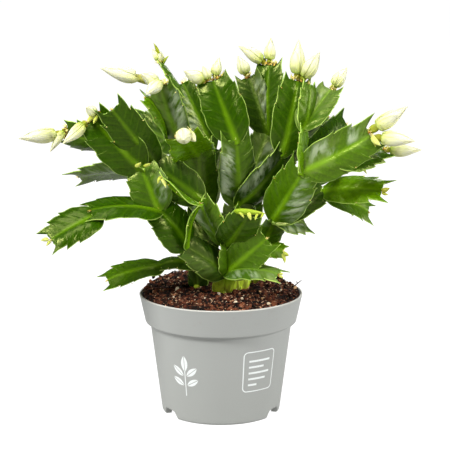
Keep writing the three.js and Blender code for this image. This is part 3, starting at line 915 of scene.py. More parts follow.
@dataclass(frozen=True)
class PotPlastic:
    """Satin light grey plastic with faint mould lines, dust, a plain white print on the front, and a
    painted highlight along the top of the lip.
    """

    grey: Colour = srgb(159, 161, 157)
    lower: Colour = srgb(157, 159, 154)
    # lip: painted highlight along the top of the rolled lip
    lip: Colour = srgb(190, 186, 176)
    white: Colour = srgb(232, 236, 234)
    dust: Colour = srgb(140, 120, 98)
    print_radius: float = 47.5
    line_half: float = 0.38
    stalk_half: float = 0.35
    bare_rib: float = 0.22
    sprig_angle: float = -0.56
    sprig_height: float = 35.0
    panel_angle: float = 0.6
    panel_height: float = 40.0
    panel_half: tuple[float, float] = (12.5, 15.0)
    panel_round: float = 3.0
    rule_half: float = 0.75
    rule_start: float = -8.5
    rules: tuple[tuple[float, float], ...] = (
        (8.0, 8.5), (3.5, 6.0), (-1.0, 8.5), (-5.5, 7.0), (-10.0, 3.5),
    )
    leaflets: tuple[Leaflet, ...] = (
        Leaflet(0.0, 10.5, 1.5708, 6.2, 2.6),
        Leaflet(-5.4, 4.6, 2.45, 5.6, 2.3),
        Leaflet(5.4, 4.6, 0.69, 5.6, 2.3),
        Leaflet(-5.8, -3.4, 2.62, 5.4, 2.2),
        Leaflet(5.8, -3.4, 0.52, 5.4, 2.2),
    )

    def sprig(self, across: Value, up: Value) -> Value:
        """The printed sprig: a stalk, and leaves with a thin bare line along their ribs.

        A leaf reaches its half width times one less the squared share of its half length.

        Args:
            across: Millimetres from its middle, round the wall.
            up: Millimetres above its middle.

        Returns:
            How far inside it a place is.
        """
        inside = (self.stalk_half - abs(across)).least(up + 14.0).least(5.0 - up)
        for leaf in self.leaflets:
            cosine, sine = math.cos(leaf.slope), math.sin(leaf.slope)
            x = (across - leaf.across) * cosine + (up - leaf.up) * sine
            y = abs((up - leaf.up) * cosine - (across - leaf.across) * sine)
            blade = (1.0 - (x / leaf.long) ** 2.0) * leaf.wide - y
            inside = inside.most(blade.least(y - self.bare_rib))
        return inside

    def panel(self, across: Value, up: Value) -> Value:
        """The printed frame, a drawn line with round corners, and the plain rules in it.

        Args:
            across: Millimetres from its middle, round the wall.
            up: Millimetres above its middle.

        Returns:
            How far inside it a place is.
        """
        half_x, half_y = (half - self.panel_round for half in self.panel_half)
        x, y = (abs(across) - half_x).most(0.0), (abs(up) - half_y).most(0.0)
        inside = self.line_half - abs((x * x + y * y) ** 0.5 - self.panel_round)
        for height, half in self.rules:
            middle = self.rule_start + half
            rule = (self.rule_half - abs(up - height)).least(half - abs(across - middle))
            inside = inside.most(rule)
        return inside

    def material(self) -> Material:
        """Grey plastic with the print laid over it, and rings and grain raised by a bump.

        Returns:
            The finish.
        """
        s = Shader.named("pot_plastic")
        x, y, z = (s.axis(name) for name in "XYZ")
        up, angle = z * 1000.0, x.turn_from(y * -1.0)
        radius = (x * x + y * y) ** 0.5 * 1000.0
        sprig = self.sprig((angle - self.sprig_angle) * self.print_radius, up - self.sprig_height)
        panel = self.panel((angle - self.panel_angle) * self.print_radius, up - self.panel_height)
        outside = (radius - up * 0.13).rise(FOOT_RADIUS - 2.2, FOOT_RADIUS - 1.6)
        printed = sprig.most(panel).rise(-0.06, 0.08) * outside
        cloudy = s.noise(28.0)
        dust = s.noise(160.0, 5.0, 0.65).rise(0.56, 0.8) * up.rise(60.0, 90.0)
        colour = s.layers(
            self.grey,
            ((1.0 - up.rise(0.0, 66.0)) * 0.7 + 0.25 * cloudy, self.lower),
            # painted highlight along the top of the lip
            (up.rise(POT_HEIGHT - 0.9, POT_HEIGHT - 0.35) * 0.7, self.lip),
            (dust * 0.22, self.dust),
            (printed * (0.93 - 0.3 * s.noise(900.0).rise(0.5, 0.8)), self.white),
        )
        rings = (up * 5.2).sine().rise(0.6, 1.0) * up.rise(68.0, 70.0) * (1.0 - up.rise(80.0, 84.0))
        height = 0.12 * rings + 0.5 * s.noise(2600.0, 2.0) + 0.35 * printed
        rough = 0.43 + 0.1 * cloudy + 0.06 * s.noise(500.0) - 0.08 * printed
        return s.surface(colour, rough, s.bump(height, 0.00012), Specular_IOR_Level=0.45)


class Skin(Enum):
    """How a joint's skin looks: shares of fresh green, painted shade, pale bloom that is partly painted
    sheen, and age.
    """

    # DARK and SHADED: painted shade for joints that sit in shade
    DARK = (0.06, 0.36, 0.0, 0.0)
    DEEP = (0.13, 0.22, 0.07, 0.0)
    GREEN = (0.42, 0.06, 0.08, 0.0)
    # BRIGHT: much fresh green, which also lightens edge-on joints and joints that face away from the light,
    # as painted light
    BRIGHT = (0.85, 0.0, 0.0, 0.0)
    # SILVER, SHEEN and DULL: much bloom, which is partly painted sheen
    SILVER = (0.25, 0.25, 0.55, 0.0)
    SHEEN = (0.5, 0.05, 0.45, 0.0)
    DULL = (0.2, 0.22, 0.38, 0.0)
    SHADED = (0.05, 0.62, 0.22, 0.0)
    OLD = (1.0, 0.0, 0.0, 0.85)


@dataclass(frozen=True)
class Joint:
    """One flat joint of a stem: what it grows from, where its tip is, its width, its face's turn from the
    viewer in degrees, how far its middle bows out, its edges stand up and wave, where it starts if not at
    its parent's tip, its skin, how much painted highlight one wing has, below zero on the left, and how
    long its horns and how deep its teeth are, as shares of the solid's."""

    name: str
    grows_from: str
    tip: Spot
    width: float
    turn: float
    bow: float = 0.0
    cup: float = 0.0
    wave: float = 0.0
    start: Spot | None = None
    skin: Skin = Skin.DEEP
    sheen: float = 0.0
    horn: float = 1.0
    toothed: float = 0.4


FRONT_JOINTS = (
    Joint("front_base", "", (4, 104, -21), 17, 20, start=(1, 89, -15), skin=Skin.OLD),
    Joint("front_fan_left", "front_base", (-26, 123, -36), 25, 28, 2, -1.5, skin=Skin.SHADED),
    Joint("front_fan_right", "front_base", (34, 129, -40), 25, -12, 2, 2, skin=Skin.GREEN, horn=1.3),
    Joint("front_fan_middle", "front_base", (4, 125, -24), 20, 50, skin=Skin.GREEN),
    Joint("front_low_right", "front_base", (43, 101, -46), 20, -70, 4, -2, skin=Skin.DULL,
          sheen=0.4, toothed=0.7),
    Joint("middle_wavy", "front_fan_middle", (-15, 159, -34), 24, -46, 2, wave=1.6,
          skin=Skin.SHEEN, sheen=-0.5),
    Joint("middle_young", "front_fan_middle", (20, 147, -48), 26, 8, 2, 1),
    Joint("left_dark", "front_fan_left", (-46, 150, -44), 29, 34, 3, -1, skin=Skin.DARK),
    Joint("left_edge_on", "front_fan_left", (-15, 155, -50), 22, 82, -3, wave=1, skin=Skin.BRIGHT),
    Joint("reach_left_inner", "left_dark", (-96, 149, -62), 27, 66, 4, -2, skin=Skin.DARK),
    Joint("reach_left_outer", "reach_left_inner", (-125, 127, -80), 25, 34, 3, 1,
          start=(-88, 146, -60), skin=Skin.DARK, horn=1.5, toothed=0.9),
    Joint("left_grey", "left_dark", (-58, 181, -38), 28, 8, 2, skin=Skin.DULL, sheen=0.4),
    Joint("left_broad", "left_grey", (-93, 217, -46), 30, 4, 3, 1.5, skin=Skin.DARK),
    Joint("left_low", "left_grey", (-104, 174, -12), 24, -46, -2, skin=Skin.DULL, sheen=0.3,
          horn=1.5, toothed=1.0),
    Joint("mid_left", "middle_wavy", (-49, 184, -28), 26, 10, 2, 1, skin=Skin.SHADED),
    Joint("left_upper", "mid_left", (-79, 224, -58), 26, 6, 2, skin=Skin.DARK, horn=1.15, toothed=0.8),
    Joint("left_behind", "mid_left", (-77, 202, -8), 24, 12, skin=Skin.SHADED),
    Joint("left_far", "left_behind", (-112, 207, -14), 26, -30, 2, toothed=0.8),
    Joint("bright_edge", "left_edge_on", (-43, 174, -56), 20, 92, -2, wave=1, skin=Skin.BRIGHT),
)
LEFT_JOINTS = (
    Joint("left_base", "", (-18, 108, -3), 16, -20, start=(-17, 93, 0), skin=Skin.SHADED),
    Joint("low_arch", "left_base", (-45, 108, -12), 18, 78, 4, skin=Skin.GREEN),
    Joint("low_reach", "low_arch", (-84, 97, -24), 24, 60, 2, wave=1, skin=Skin.GREEN,
          horn=1.4, toothed=0.9),
    Joint("left_riser", "left_base", (-13, 150, 8), 30, 16, skin=Skin.SHADED),
    Joint("dark_riser", "left_riser", (-6, 196, 22), 24, 28, skin=Skin.SHADED),
    Joint("silver_foot", "left_riser", (-28, 199, 4), 24, 30, skin=Skin.DULL),
    Joint("silver_fan", "silver_foot", (-43, 242, -12), 24, -26, 2, wave=1, skin=Skin.SILVER, sheen=0.6),
    Joint("bright_strap", "silver_foot", (-55, 232, -16), 18, 78, 3, start=(-40, 203, 0),
          skin=Skin.BRIGHT),
    Joint("shaded_left", "silver_foot", (-62, 215, 28), 24, -6, 1, skin=Skin.DARK),
    Joint("dark_crown", "dark_riser", (-28, 243, 26), 24, 34, skin=Skin.DARK, sheen=-0.4),
    Joint("spur", "dark_crown", (-43, 257, 34), 15, 84, start=(-26, 232, 24), skin=Skin.DULL),
    Joint("inner_rib", "left_riser", (-16, 200, -20), 25, -12, 1, skin=Skin.GREEN),
    Joint("facing", "inner_rib", (-27, 205, -58), 30, 0, 2, 2.4, start=(-17, 190, -15),
          skin=Skin.BRIGHT, horn=1.5, toothed=0.6),
)
CENTRE_JOINTS = (
    Joint("centre_base", "", (15, 120, 4), 18, 20, start=(13, 91, -2), skin=Skin.OLD),
    Joint("centre_riser", "centre_base", (12, 155, -6), 28, 12, skin=Skin.SHADED),
    Joint("ribbed_lower", "centre_riser", (11, 202, -23), 27, 18, 2, -2, skin=Skin.DULL,
          sheen=-0.75, horn=1.3),
    Joint("ribbed_upper", "ribbed_lower", (-6, 245, -14), 30, 4, 2, 1, skin=Skin.DARK),
    Joint("centre_right", "centre_riser", (46, 192, -12), 26, 36, 2, 1, skin=Skin.DARK, sheen=-0.5),
    Joint("silver_behind", "centre_riser", (34, 208, 26), 24, 10, skin=Skin.SILVER, sheen=0.6),
    Joint("crown_dark", "silver_behind", (19, 247, 26), 26, 26, 1, skin=Skin.SHADED, sheen=0.6),
    Joint("crown_middle", "silver_behind", (35, 256, 36), 26, -26, 1, skin=Skin.DARK),
    Joint("crown_right", "centre_right", (55, 245, -4), 26, 8, 2, wave=1),
    Joint("crown_behind", "centre_right", (78, 218, 26), 25, 20, 1, sheen=0.5, horn=1.6, toothed=0.9),
)
RIGHT_JOINTS = (
    Joint("right_base", "", (30, 124, 4), 18, -20, start=(19, 97.5, 12), skin=Skin.OLD),
    Joint("right_curl", "right_base", (39, 143, -12), 22, 30, cup=2),
    Joint("bright_rib", "right_curl", (60, 179, -34), 31, -10, 2, -2, skin=Skin.GREEN, sheen=0.6,
          horn=1.7, toothed=0.6),
    Joint("right_dark", "right_curl", (76, 165, -2), 24, -40, 1, skin=Skin.SHADED),
    Joint("right_grey", "right_curl", (62, 139, 14), 19, -58, skin=Skin.SILVER, sheen=0.5,
          horn=1.6, toothed=1.0),
    Joint("right_sprout", "right_base", (46, 119, -8), 14, -40, skin=Skin.GREEN),
    Joint("reach_right", "bright_rib", (109, 205, -42), 30, 0, 3, 1.5, skin=Skin.SHEEN,
          sheen=-0.65, horn=1.7, toothed=0.7),
    Joint("upright_foot", "bright_rib", (59, 211, -28), 22, 70, skin=Skin.BRIGHT),
    Joint("upright", "upright_foot", (63, 242, -22), 22, 54, 1, skin=Skin.GREEN),
    Joint("folded", "upright_foot", (80, 238, -12), 25, -44, cup=2, skin=Skin.DULL, sheen=-0.5),
    Joint("right_shade", "bright_rib", (91, 213, 12), 28, 10, 1, wave=1, skin=Skin.DARK, horn=1.3),
    Joint("right_far", "reach_right", (118, 194, -24), 21, -48, start=(86, 182, -39.6),
          horn=1.7, toothed=1.0),
    Joint("low_right", "right_dark", (118, 164, -24), 25, -48, 2, skin=Skin.BRIGHT, horn=1.6,
          toothed=0.9),
    Joint("low_right_under", "right_dark", (108, 148, 8), 24, -50, 1, skin=Skin.GREEN,
          horn=1.5, toothed=1.0),
)
BACK_LEFT_JOINTS = (
    Joint("back_left_base", "", (-9, 120, 25), 18, 160, start=(-12, 104, 24), skin=Skin.OLD),
    Joint("back_left_riser", "back_left_base", (-15, 160, 30), 26, 155, skin=Skin.SHADED),
    Joint("back_left_out", "back_left_riser", (-62, 196, 38), 26, 150, 2, skin=Skin.GREEN),
    Joint("back_left_up", "back_left_riser", (-20, 204, 46), 25, 215, 2, skin=Skin.DULL, sheen=0.7),
    Joint("back_left_droop", "back_left_riser", (-46, 166, 68), 25, 118, 4, skin=Skin.GREEN),
    Joint("back_left_far", "back_left_out", (-80, 211, 62), 25, 140, 2),
    Joint("back_left_crown", "back_left_up", (-22, 234, 66), 25, 222, 2, sheen=-0.5),
)
BACK_RIGHT_JOINTS = (
    Joint("back_right_base", "", (15, 120, 28), 18, 200, start=(12, 103, 26), skin=Skin.OLD),
    Joint("back_right_riser", "back_right_base", (22, 162, 34), 26, 205, skin=Skin.SHADED),
    Joint("back_right_out", "back_right_riser", (54, 196, 44), 26, 205, 2, skin=Skin.GREEN, sheen=-0.6),
    Joint("back_right_side", "back_right_riser", (66, 170, 54), 25, 225, 3),
    Joint("back_right_up", "back_right_riser", (8, 206, 46), 25, 142, 2, skin=Skin.DULL, sheen=0.6),
    Joint("back_right_droop", "back_right_riser", (14, 166, 76), 25, 170, 4, skin=Skin.GREEN),
    Joint("back_right_crown", "back_right_out", (60, 228, 58), 25, 215, 2),
    Joint("back_right_reach", "back_right_side", (92, 182, 72), 25, 230, 2),
    Joint("back_right_top", "back_right_up", (4, 236, 66), 25, 140, 2, skin=Skin.GREEN),
)
STEMS: dict[str, tuple[Joint, ...]] = {
    "stem_front": FRONT_JOINTS,
    "stem_left": LEFT_JOINTS,
    "stem_centre": CENTRE_JOINTS,
    "stem_right": RIGHT_JOINTS,
    "stem_back_left": BACK_LEFT_JOINTS,
    "stem_back_right": BACK_RIGHT_JOINTS,
}


@dataclass(frozen=True)
class Corner:
    """A corner of a joint's outline, as shares of its length and half width: where its row crosses the rib,
    and where the edge is there."""

    rib: float
    edge: float
    across: float


NECK = Corner(-0.05, -0.05, 0.13)
BELLY = Corner(0.34, 0.32, 1.0)
FIRST_TOOTH = Corner(0.52, 0.63, 1.1)
FIRST_NOTCH = Corner(0.6, 0.63, 0.94)
SECOND_TOOTH = Corner(0.74, 0.87, 1.02)
SECOND_NOTCH = Corner(0.8, 0.845, 0.77)
HORN = Corner(0.88, 1.08, 0.74)
HORN_FOOT = Corner(0.97, 0.985, 0.34)


@dataclass(frozen=True)
class EdgeSpan:
    """A stretch of the edge between two corners, bent by two handles, and how many rows it takes."""

    start: Corner
    leaving: tuple[float, float]
    arriving: tuple[float, float]
    end: Corner
    rows: int

    def curve(self) -> Array:
        """The stretch as a cubic curve of rib, edge and across, all but its last point."""
        leaving, arriving = (self.start.rib, *self.leaving), (self.end.rib, *self.arriving)
        return bezier([astuple(self.start), leaving, arriving, astuple(self.end)], self.rows)


EDGE: tuple[EdgeSpan, ...] = (
    EdgeSpan(NECK, (0.0, 0.42), (0.1, 0.94), BELLY, 13),
    EdgeSpan(BELLY, (0.45, 1.03), (0.55, 1.02), FIRST_TOOTH, 10),
    EdgeSpan(FIRST_TOOTH, (0.61, 1.02), (0.6, 0.96), FIRST_NOTCH, 5),
    EdgeSpan(FIRST_NOTCH, (0.7, 1.0), (0.8, 0.95), SECOND_TOOTH, 9),
    EdgeSpan(SECOND_TOOTH, (0.83, 0.9), (0.82, 0.82), SECOND_NOTCH, 5),
    EdgeSpan(SECOND_NOTCH, (0.92, 0.86), (1.0, 0.76), HORN, 9),
    EdgeSpan(HORN, (0.99, 0.62), (0.985, 0.52), HORN_FOOT, 7),
)
COLUMNS = np.array([0.0, 0.06, 0.13, 0.21, 0.32, 0.45, 0.58, 0.7, 0.81, 0.9, 0.965, 1.0])
WORN_EDGE = ((BELLY.edge, 1.0), (0.58, 1.01), (SECOND_TOOTH.edge, 0.88), (HORN.edge, 0.74))


@dataclass
class BladeGrid:
    """The rows and columns that cover a blade: how far along each point is, how far across in half widths,
    how far out its column is, whether it lies right of the rib, and its millimetres off rib and edge."""

    share: Array
    across: Array
    out: Array
    right: Array
    off_rib: Array
    off_edge: Array


@dataclass
class Blade:
    """A joint laid out in space: its line, the directions of its face and its width, and its number."""

    joint: Joint
    base: Array
    index: int
    rib_spread: float = 1.75
    rim_round: float = 0.5
    vein_apart: float = 7.2
    sway_size: float = 13.0
    sway_height: float = 3.2
    tip: Array = field(init=False)
    along: Array = field(init=False)
    face: Array = field(init=False)
    side: Array = field(init=False)
    length: float = field(init=False)

    def __post_init__(self) -> None:
        """Works out the directions: the face looks at the viewer, square to the line, then turns."""
        self.tip = place(self.joint.tip)
        self.length = float(np.linalg.norm(self.tip - self.base))
        self.along = (self.tip - self.base) / self.length
        viewer = unit(TO_VIEWER - self.along * TO_VIEWER.dot(self.along))
        aside = np.cross(self.along, viewer)
        turn = math.radians(self.joint.turn)
        self.face = viewer * math.cos(turn) + aside * math.sin(turn)
        self.side = np.cross(self.along, self.face)

    def at(self, share: Array | float, across: Array | float, up: Array | float = 0.0) -> Array:
        """Points of the blade, whose middle surface stands off the straight line by the bow times
        4s(1 - s), the cup times across squared, and the wave times across times a sine along it.

        Args:
            share: How far along the blade, from 0 to 1.
            across: How far across, in half widths, below zero on the left.
            up: How far off the middle surface, in millimetres.

        Returns:
            The points.
        """
        share, across, up = np.broadcast_arrays(*(np.asarray(v, float) for v in (share, across, up)))
        joint = self.joint
        off = joint.bow * 4.0 * share * (1.0 - share) + joint.cup * across**2 + up
        off = off + joint.wave * across * np.sin(WAVE_TURNS * share + self.index)
        half = joint.width / 2.0
        flat = share[..., None] * self.length * self.along + across[..., None] * half * self.side
        return self.base + flat + off[..., None] * self.face

    def edge(self, sign: float) -> Array:
        """One side's edge: cubic spans with a ripple, whose teeth and horns are worn down or drawn out.

        Args:
            sign: -1 for the left side, 1 for the right.

        Returns:
            For each row where it crosses the rib, and how far along and across its edge is.
        """
        rows = [span.curve() for span in EDGE]
        rib, along, across = np.concatenate([*rows, [astuple(HORN_FOOT)]]).T
        joint = self.joint
        tooth = TOOTH_LEAST + TOOTH_SPREAD * chance(self.index)
        across = np.where(across > 1.0, 1.0 + (across - 1.0) * tooth, across)
        filled = 0.08 * chance(self.index, 12.0 + sign) * (across < 0.95)
        across = across + filled * ease(along, 0.55, 0.6) * (1.0 - ease(along, 0.64, 0.72))
        toothless = np.interp(along, *np.array(WORN_EDGE).T)
        worn = ease(along, 0.3, 0.45) * (1.0 - ease(along, 0.86, 0.96))
        across = across + (1.0 - joint.toothed) * worn * (toothless - across)
        if not joint.grows_from:
            across = np.maximum(across, 0.72 - 0.5 * along) * np.where(along < 0.6, 1.0, 0.9)
        longer = joint.horn * (0.8 + 0.5 * chance(self.index, 14.0 + sign)) - 1.0
        ahead = np.maximum(along - HORN_FOOT.edge, 0.0) * longer
        along, across = along + ahead, across + 1.2 * ahead
        shift = 0.05 * (chance(self.index, 3.0 + sign) - 0.5)
        middle = ease(along, 0.25, 0.55) * (1.0 - ease(along, 0.86, 0.98))
        ripple = 0.025 * np.sin(along * (16.0 + 9.0 * chance(self.index, 6.0 + sign)) + 5.0 * self.index)
        across = across * (1.0 + ripple * ease(along, 0.08, 0.3))
        return np.stack([rib, along + shift * middle, across])

    def grid(self) -> BladeGrid:
        """Covers the blade: a row bends from the rib to its edge point as the power 1.5 of the way out.

        Returns:
            Its rows and columns, from the left edge to the right one.
        """
        columns = np.concatenate([-COLUMNS[:0:-1], COLUMNS])[None]
        right = columns > 0.0
        left_edge, right_edge = self.edge(-1.0)[:, :, None], self.edge(1.0)[:, :, None]
        rib, edge_along, edge_across = left_edge[0], *np.where(right, right_edge[1:], left_edge[1:])
        out = np.abs(columns)
        across = edge_across * columns
        half = self.joint.width / 2.0
        return BladeGrid(
            share=rib + (edge_along - rib) * out**1.5, across=across, out=out, right=right,
            off_rib=np.abs(across) * half, off_edge=(1.0 - out) * edge_across * half,
        )

    def thickness(self, grid: BladeGrid) -> Array:
        """Half the blade's thickness: a rib as a bell curve, which weakens towards the tip, on wings that
        thin outwards, times the quarter circle of a round rim.

        Args:
            grid: The blade's rows and columns.

        Returns:
            Millimetres for each point.
        """
        strength = 1.12 - 0.5 * ease(grid.share, 0.1, 1.0)
        thick = EDGE_HALF + (WING_HALF - EDGE_HALF) * (1.0 - grid.out**1.3)
        thick = thick + (RIB_HALF * strength - WING_HALF) * np.exp(-((grid.off_rib / self.rib_spread) ** 2))
        inset = 1.0 - np.clip(grid.off_edge / self.rim_round, 0.0, 1.0)
        rim = np.sqrt(np.clip(1.0 - inset**2, 0.0, 1.0))
        return thick * np.where(grid.out == 1.0, 0.0, rim)

    def relief(self, grid: BladeGrid, vein_run: Array, sway: Array) -> Array:
        """How far the face stands off the plain middle surface: a fine quilt between the veins, slow noise,
        a bulge or dip of each wing, and a lift or droop of each edge, the last two by draws.

        Args:
            grid: The blade's rows and columns.
            vein_run: How many veins on each point is.
            sway: Noise from -0.5 to 0.5.

        Returns:
            Millimetres for each point.
        """
        share, reach = grid.share, np.minimum(np.abs(grid.across), 1.05)
        between = ease(grid.off_rib, 1.5, 4.0) * ease(grid.off_edge, 0.3, 3.0)
        up = 0.07 * np.sin(2.0 * np.pi * vein_run) * between
        up = up + self.sway_height * sway * ease(share, 0.08, 0.35) * ease(reach, 0.1, 0.8)
        bulge, lift = (
            np.where(grid.right, chance(self.index, salt), chance(self.index, salt + 1.0))
            for salt in (41.0, 43.0)
        )
        body = ease(share, 0.0, 0.3) * (1.0 - ease(share, 0.82, 1.05))
        up = up + (3.2 * bulge - 0.8) * np.sin(np.pi * np.minimum(reach, 1.0) ** 0.8) * body
        return up + 3.0 * (lift - 0.45) * reach**4 * ease(share, 0.1, 0.4)

    def shell(self) -> Shell:
        """Makes the blade.

        Returns:
            Its closed surface, painted for the skin.
        """
        grid = self.grid()
        vein_run = grid.share * self.length / self.vein_apart - grid.off_rib / 8.5 + 0.13 * self.index
        slant = grid.share * self.length - 0.7 * grid.off_rib
        aside = 1.1 * grid.off_rib * np.sign(grid.across)
        spots = np.stack([0.75 * slant, aside, 0 * slant + 40.0 * self.index], -1)
        sway = cloud(spots, self.sway_size, 7) - 0.5
        up, thick = self.relief(grid, vein_run, sway), self.thickness(grid)
        # the share of painted highlight on one wing goes in with the other painted numbers
        paint = {
            "off_rib": grid.off_rib, "off_edge": grid.off_edge, "vein_run": vein_run, "raised": 0.5 + sway,
            "along": np.clip(grid.share, 0.0, 1.0), "sheen": self.sheen(grid, slant),
        }
        paint = {name: np.concatenate([value, value[-1:], value[-1:]]) for name, value in paint.items()}
        upper, lower = (
            self.rounded(self.at(grid.share, grid.across, up + sign * thick), sign * thick[-1:, :, None])
            for sign in (1.0, -1.0)
        )
        shell = closed_strip(upper, lower, paint)
        # the skin's shares, painted shade among them
        fresh, shade, bloom, old = self.joint.skin.value
        fresh = fresh * (1.0 + 0.5 * (chance(self.index, 9.0) - 0.5))
        aged = old * (1.0 - ease(shell.paint["along"], 0.2, 0.9))
        return shell.painted(fresh=fresh, shade=shade, bloom=bloom, old=aged)

    def sheen(self, grid: BladeGrid, slant: Array) -> Array:
        """Painted highlight of one wing, which fades towards the rib, the edge and both ends, in streaks.

        Args:
            grid: The blade's rows and columns.
            slant: How far along a vein each point is, in millimetres.

        Returns:
            A share from 0 to 1 for each point.
        """
        wing = grid.across * math.copysign(1.0, self.joint.sheen)
        body = ease(wing, 0.05, 0.3) * (1.0 - ease(wing, 0.75, 1.0))
        body = body * ease(grid.share, 0.08, 0.35) * (1.0 - ease(grid.share, 0.7, 0.98))
        patch = cloud(np.stack([slant, grid.across * 12.0, 0 * slant + 31.0 * self.index], -1), 8.0, 17)
        return abs(self.joint.sheen) * body * ease(patch, 0.3, 0.6)

    def rounded(self, rows: Array, thick: Array) -> Array:
        """Rounds a face off past the cut-off end, with two more rows a little ahead and thinner.

        Args:
            rows: The face's points.
            thick: Half the thickness at its last row, below zero on the lower face.

        Returns:
            The face with the two rows added.
        """
        added = [rows[-1:] + ahead * self.along - less * thick * self.face for ahead, less in END_ROWS]
        return np.concatenate([rows, *added])

    def wool_places(self) -> list[tuple[Array, Array, float]]:
        """Where small tufts of wool grow: in the four notches and on the cut-off end.

        Returns:
            For each tuft its place, the way it points and how large it is.
        """
        found = [
            (self.at(notch.edge, sign * notch.across), unit(self.along + sign * self.side), 0.75)
            for sign in (-1.0, 1.0) for notch in (FIRST_NOTCH, SECOND_NOTCH)
        ]
        return [*found, (self.at(HORN_FOOT.edge, 0.0), self.along, 1.7)]


def lay_out() -> dict[str, dict[str, Blade]]:
    """Lays every joint out, from its parent's tip or from its own start.

    Returns:
        The blades by name, for each stem.
    """
    stems: dict[str, dict[str, Blade]] = {stem: {} for stem in STEMS}
    every = [(stems[stem], joint) for stem, joints in STEMS.items() for joint in joints]
    for index, (blades, joint) in enumerate(every):
        if joint.start:
            base = place(joint.start)
            if not joint.grows_from:
                base = base - ROOT_SINK * unit(place(joint.tip) - base)
        else:
            parent = blades[joint.grows_from]
            base = parent.tip - JOINT_SINK * parent.along
        blades[joint.name] = Blade(joint, base, index)
    return stems


def rod_heights(rows: int, top: float = 1.0) -> Array:
    """Heights of a turned body from 0 to 1 as a column: both ends, and so many rows from 0 to top."""
    return np.concatenate([[0.0], np.linspace(0.0, top, rows), [1.0]])[:, None]


@dataclass
class Stem:
    """A leafy stem: its joints and its round foot in the peat."""

    name: str
    blades: dict[str, Blade]
    foot_sides: int = 20
    foot_rows: int = 9

    def foot(self, blade: Blade) -> Shell:
        """The round foot: a bar from below the peat up into the first joint, a little uneven round it.

        Args:
            blade: The stem's first joint.

        Returns:
            The bar, painted as old skin with a little painted shade.
        """
        share, angle = rod_heights(self.foot_rows), circle(self.foot_sides)
        uneven = 1.0 + 0.07 * np.sin(3.0 * angle + 5.0 * share) + 0.04 * np.sin(7.0 * angle - 9.0 * share)
        bar = turned((ROOT_RADIUS - 0.5 * share) * uneven, share)
        bar = carried(bar, blade.base - ROOT_DEPTH * UP, blade.base + 5.0 * blade.along)
        # a little painted shade on the foot
        return bar.painted(fresh=0.35, old=0.9, off_rib=9.0, off_edge=9.0, along=1.0, shade=0.15)

    def build(self, skin: Material) -> None:
        """Makes the stem's piece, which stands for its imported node.

        Args:
            skin: The joints' finish.
        """
        shells = [blade.shell() for blade in self.blades.values()]
        shells += [self.foot(blade) for blade in self.blades.values() if not blade.joint.grows_from]
        make_piece(f"{self.name}_joints", Shell.joined(shells), skin, [self.name])


@dataclass(frozen=True)
class Bud:
    """One bud: where its point is, its radius, how far aside it stands on the joint's end, the share of its
    length that the cup below the petals takes, and how much painted shade turns its petals olive."""

    tip: Spot
    radius: float
    side: float
    stalk: float = 0.13
    tone: float = 0.0


BUDS: dict[str, tuple[Bud, ...]] = {
    "left_far": (Bud((-147, 202, -30), 5.6, -2, 0.2), Bud((-124, 192, -22), 2.8, 3)),
    "left_broad": (Bud((-115, 198, -58), 4.2, -5), Bud((-97, 225, -54), 3.6, 4)),
    "silver_fan": (
        Bud((-87, 253, -20), 5.8, -3, 0.4), Bud((-58, 249, -22), 4.6, -2), Bud((-54, 234, -34), 4.6, 0)),
    "spur": (Bud((-49, 267, 36), 2.7, -1), Bud((-43, 265, 30), 2.6, 1)),
    "facing": (Bud((-27, 201, -82), 5.4, 0, tone=0.12), Bud((-18, 200, -72), 2.8, 4, tone=0.2)),
    "ribbed_upper": (
        Bud((-27, 251, -22), 4.8, -6), Bud((-13, 255, -18), 3.4, -2), Bud((-1, 261, -14), 3.6, 2)),
    "crown_dark": (Bud((12, 262, 24), 4.6, 0),),
    "crown_middle": (Bud((12, 269, 34), 4.8, -4), Bud((36, 275, 38), 4.2, 0)),
    "crown_right": (Bud((56, 274, -6), 5.6, 0), Bud((71, 265, -12), 5.6, 3)),
    "folded": (Bud((91, 254, -14), 4.6, 0),),
    "reach_right": (Bud((135, 226, -48), 5.6, -3, 0.18), Bud((141, 200, -52), 5.6, 3, 0.18)),
    "right_far": (Bud((146, 194, -26), 4.6, 0),),
    "back_left_far": (Bud((-92, 217, 82), 5, 0),),
    "back_left_crown": (Bud((-26, 248, 84), 4.6, 0),),
    "back_left_droop": (Bud((-52, 160, 86), 4.4, 0),),
    "back_right_crown": (Bud((62, 244, 78), 5, 2), Bud((52, 236, 76), 3.6, -3)),
    "back_right_reach": (Bud((104, 184, 88), 5, 0),),
}


@dataclass(frozen=True)
class Whorl:
    """A ring of petals or scales on a bud: how many, how many on a small bud, the first one's turn and the
    turn to the next, how far above the cup they start, where their points are, how far a draw moves those
    and its salt, their half angle, how far they stand off and how much more each second one does."""

    count: int
    on_small: int
    first_turn: float
    apart: float
    low: float
    high: float
    vary: float
    salt: float
    reach: float
    lift: float
    second_lift: float = 0.0


WHORLS: tuple[Whorl, ...] = (
    Whorl(4, 4, 0.0, math.pi / 2.0, 0.0, 0.985, -0.05, 4.0, 0.98, 0.1, 0.12),
    Whorl(3, 0, 0.8, math.pi / 1.5, 0.01, 0.62, 0.22, 7.0, 0.82, 0.45),
    Whorl(4, 3, 0.4, 2.4, 0.02, 0.3, 0.12, 5.0, 0.55, 0.72),
)


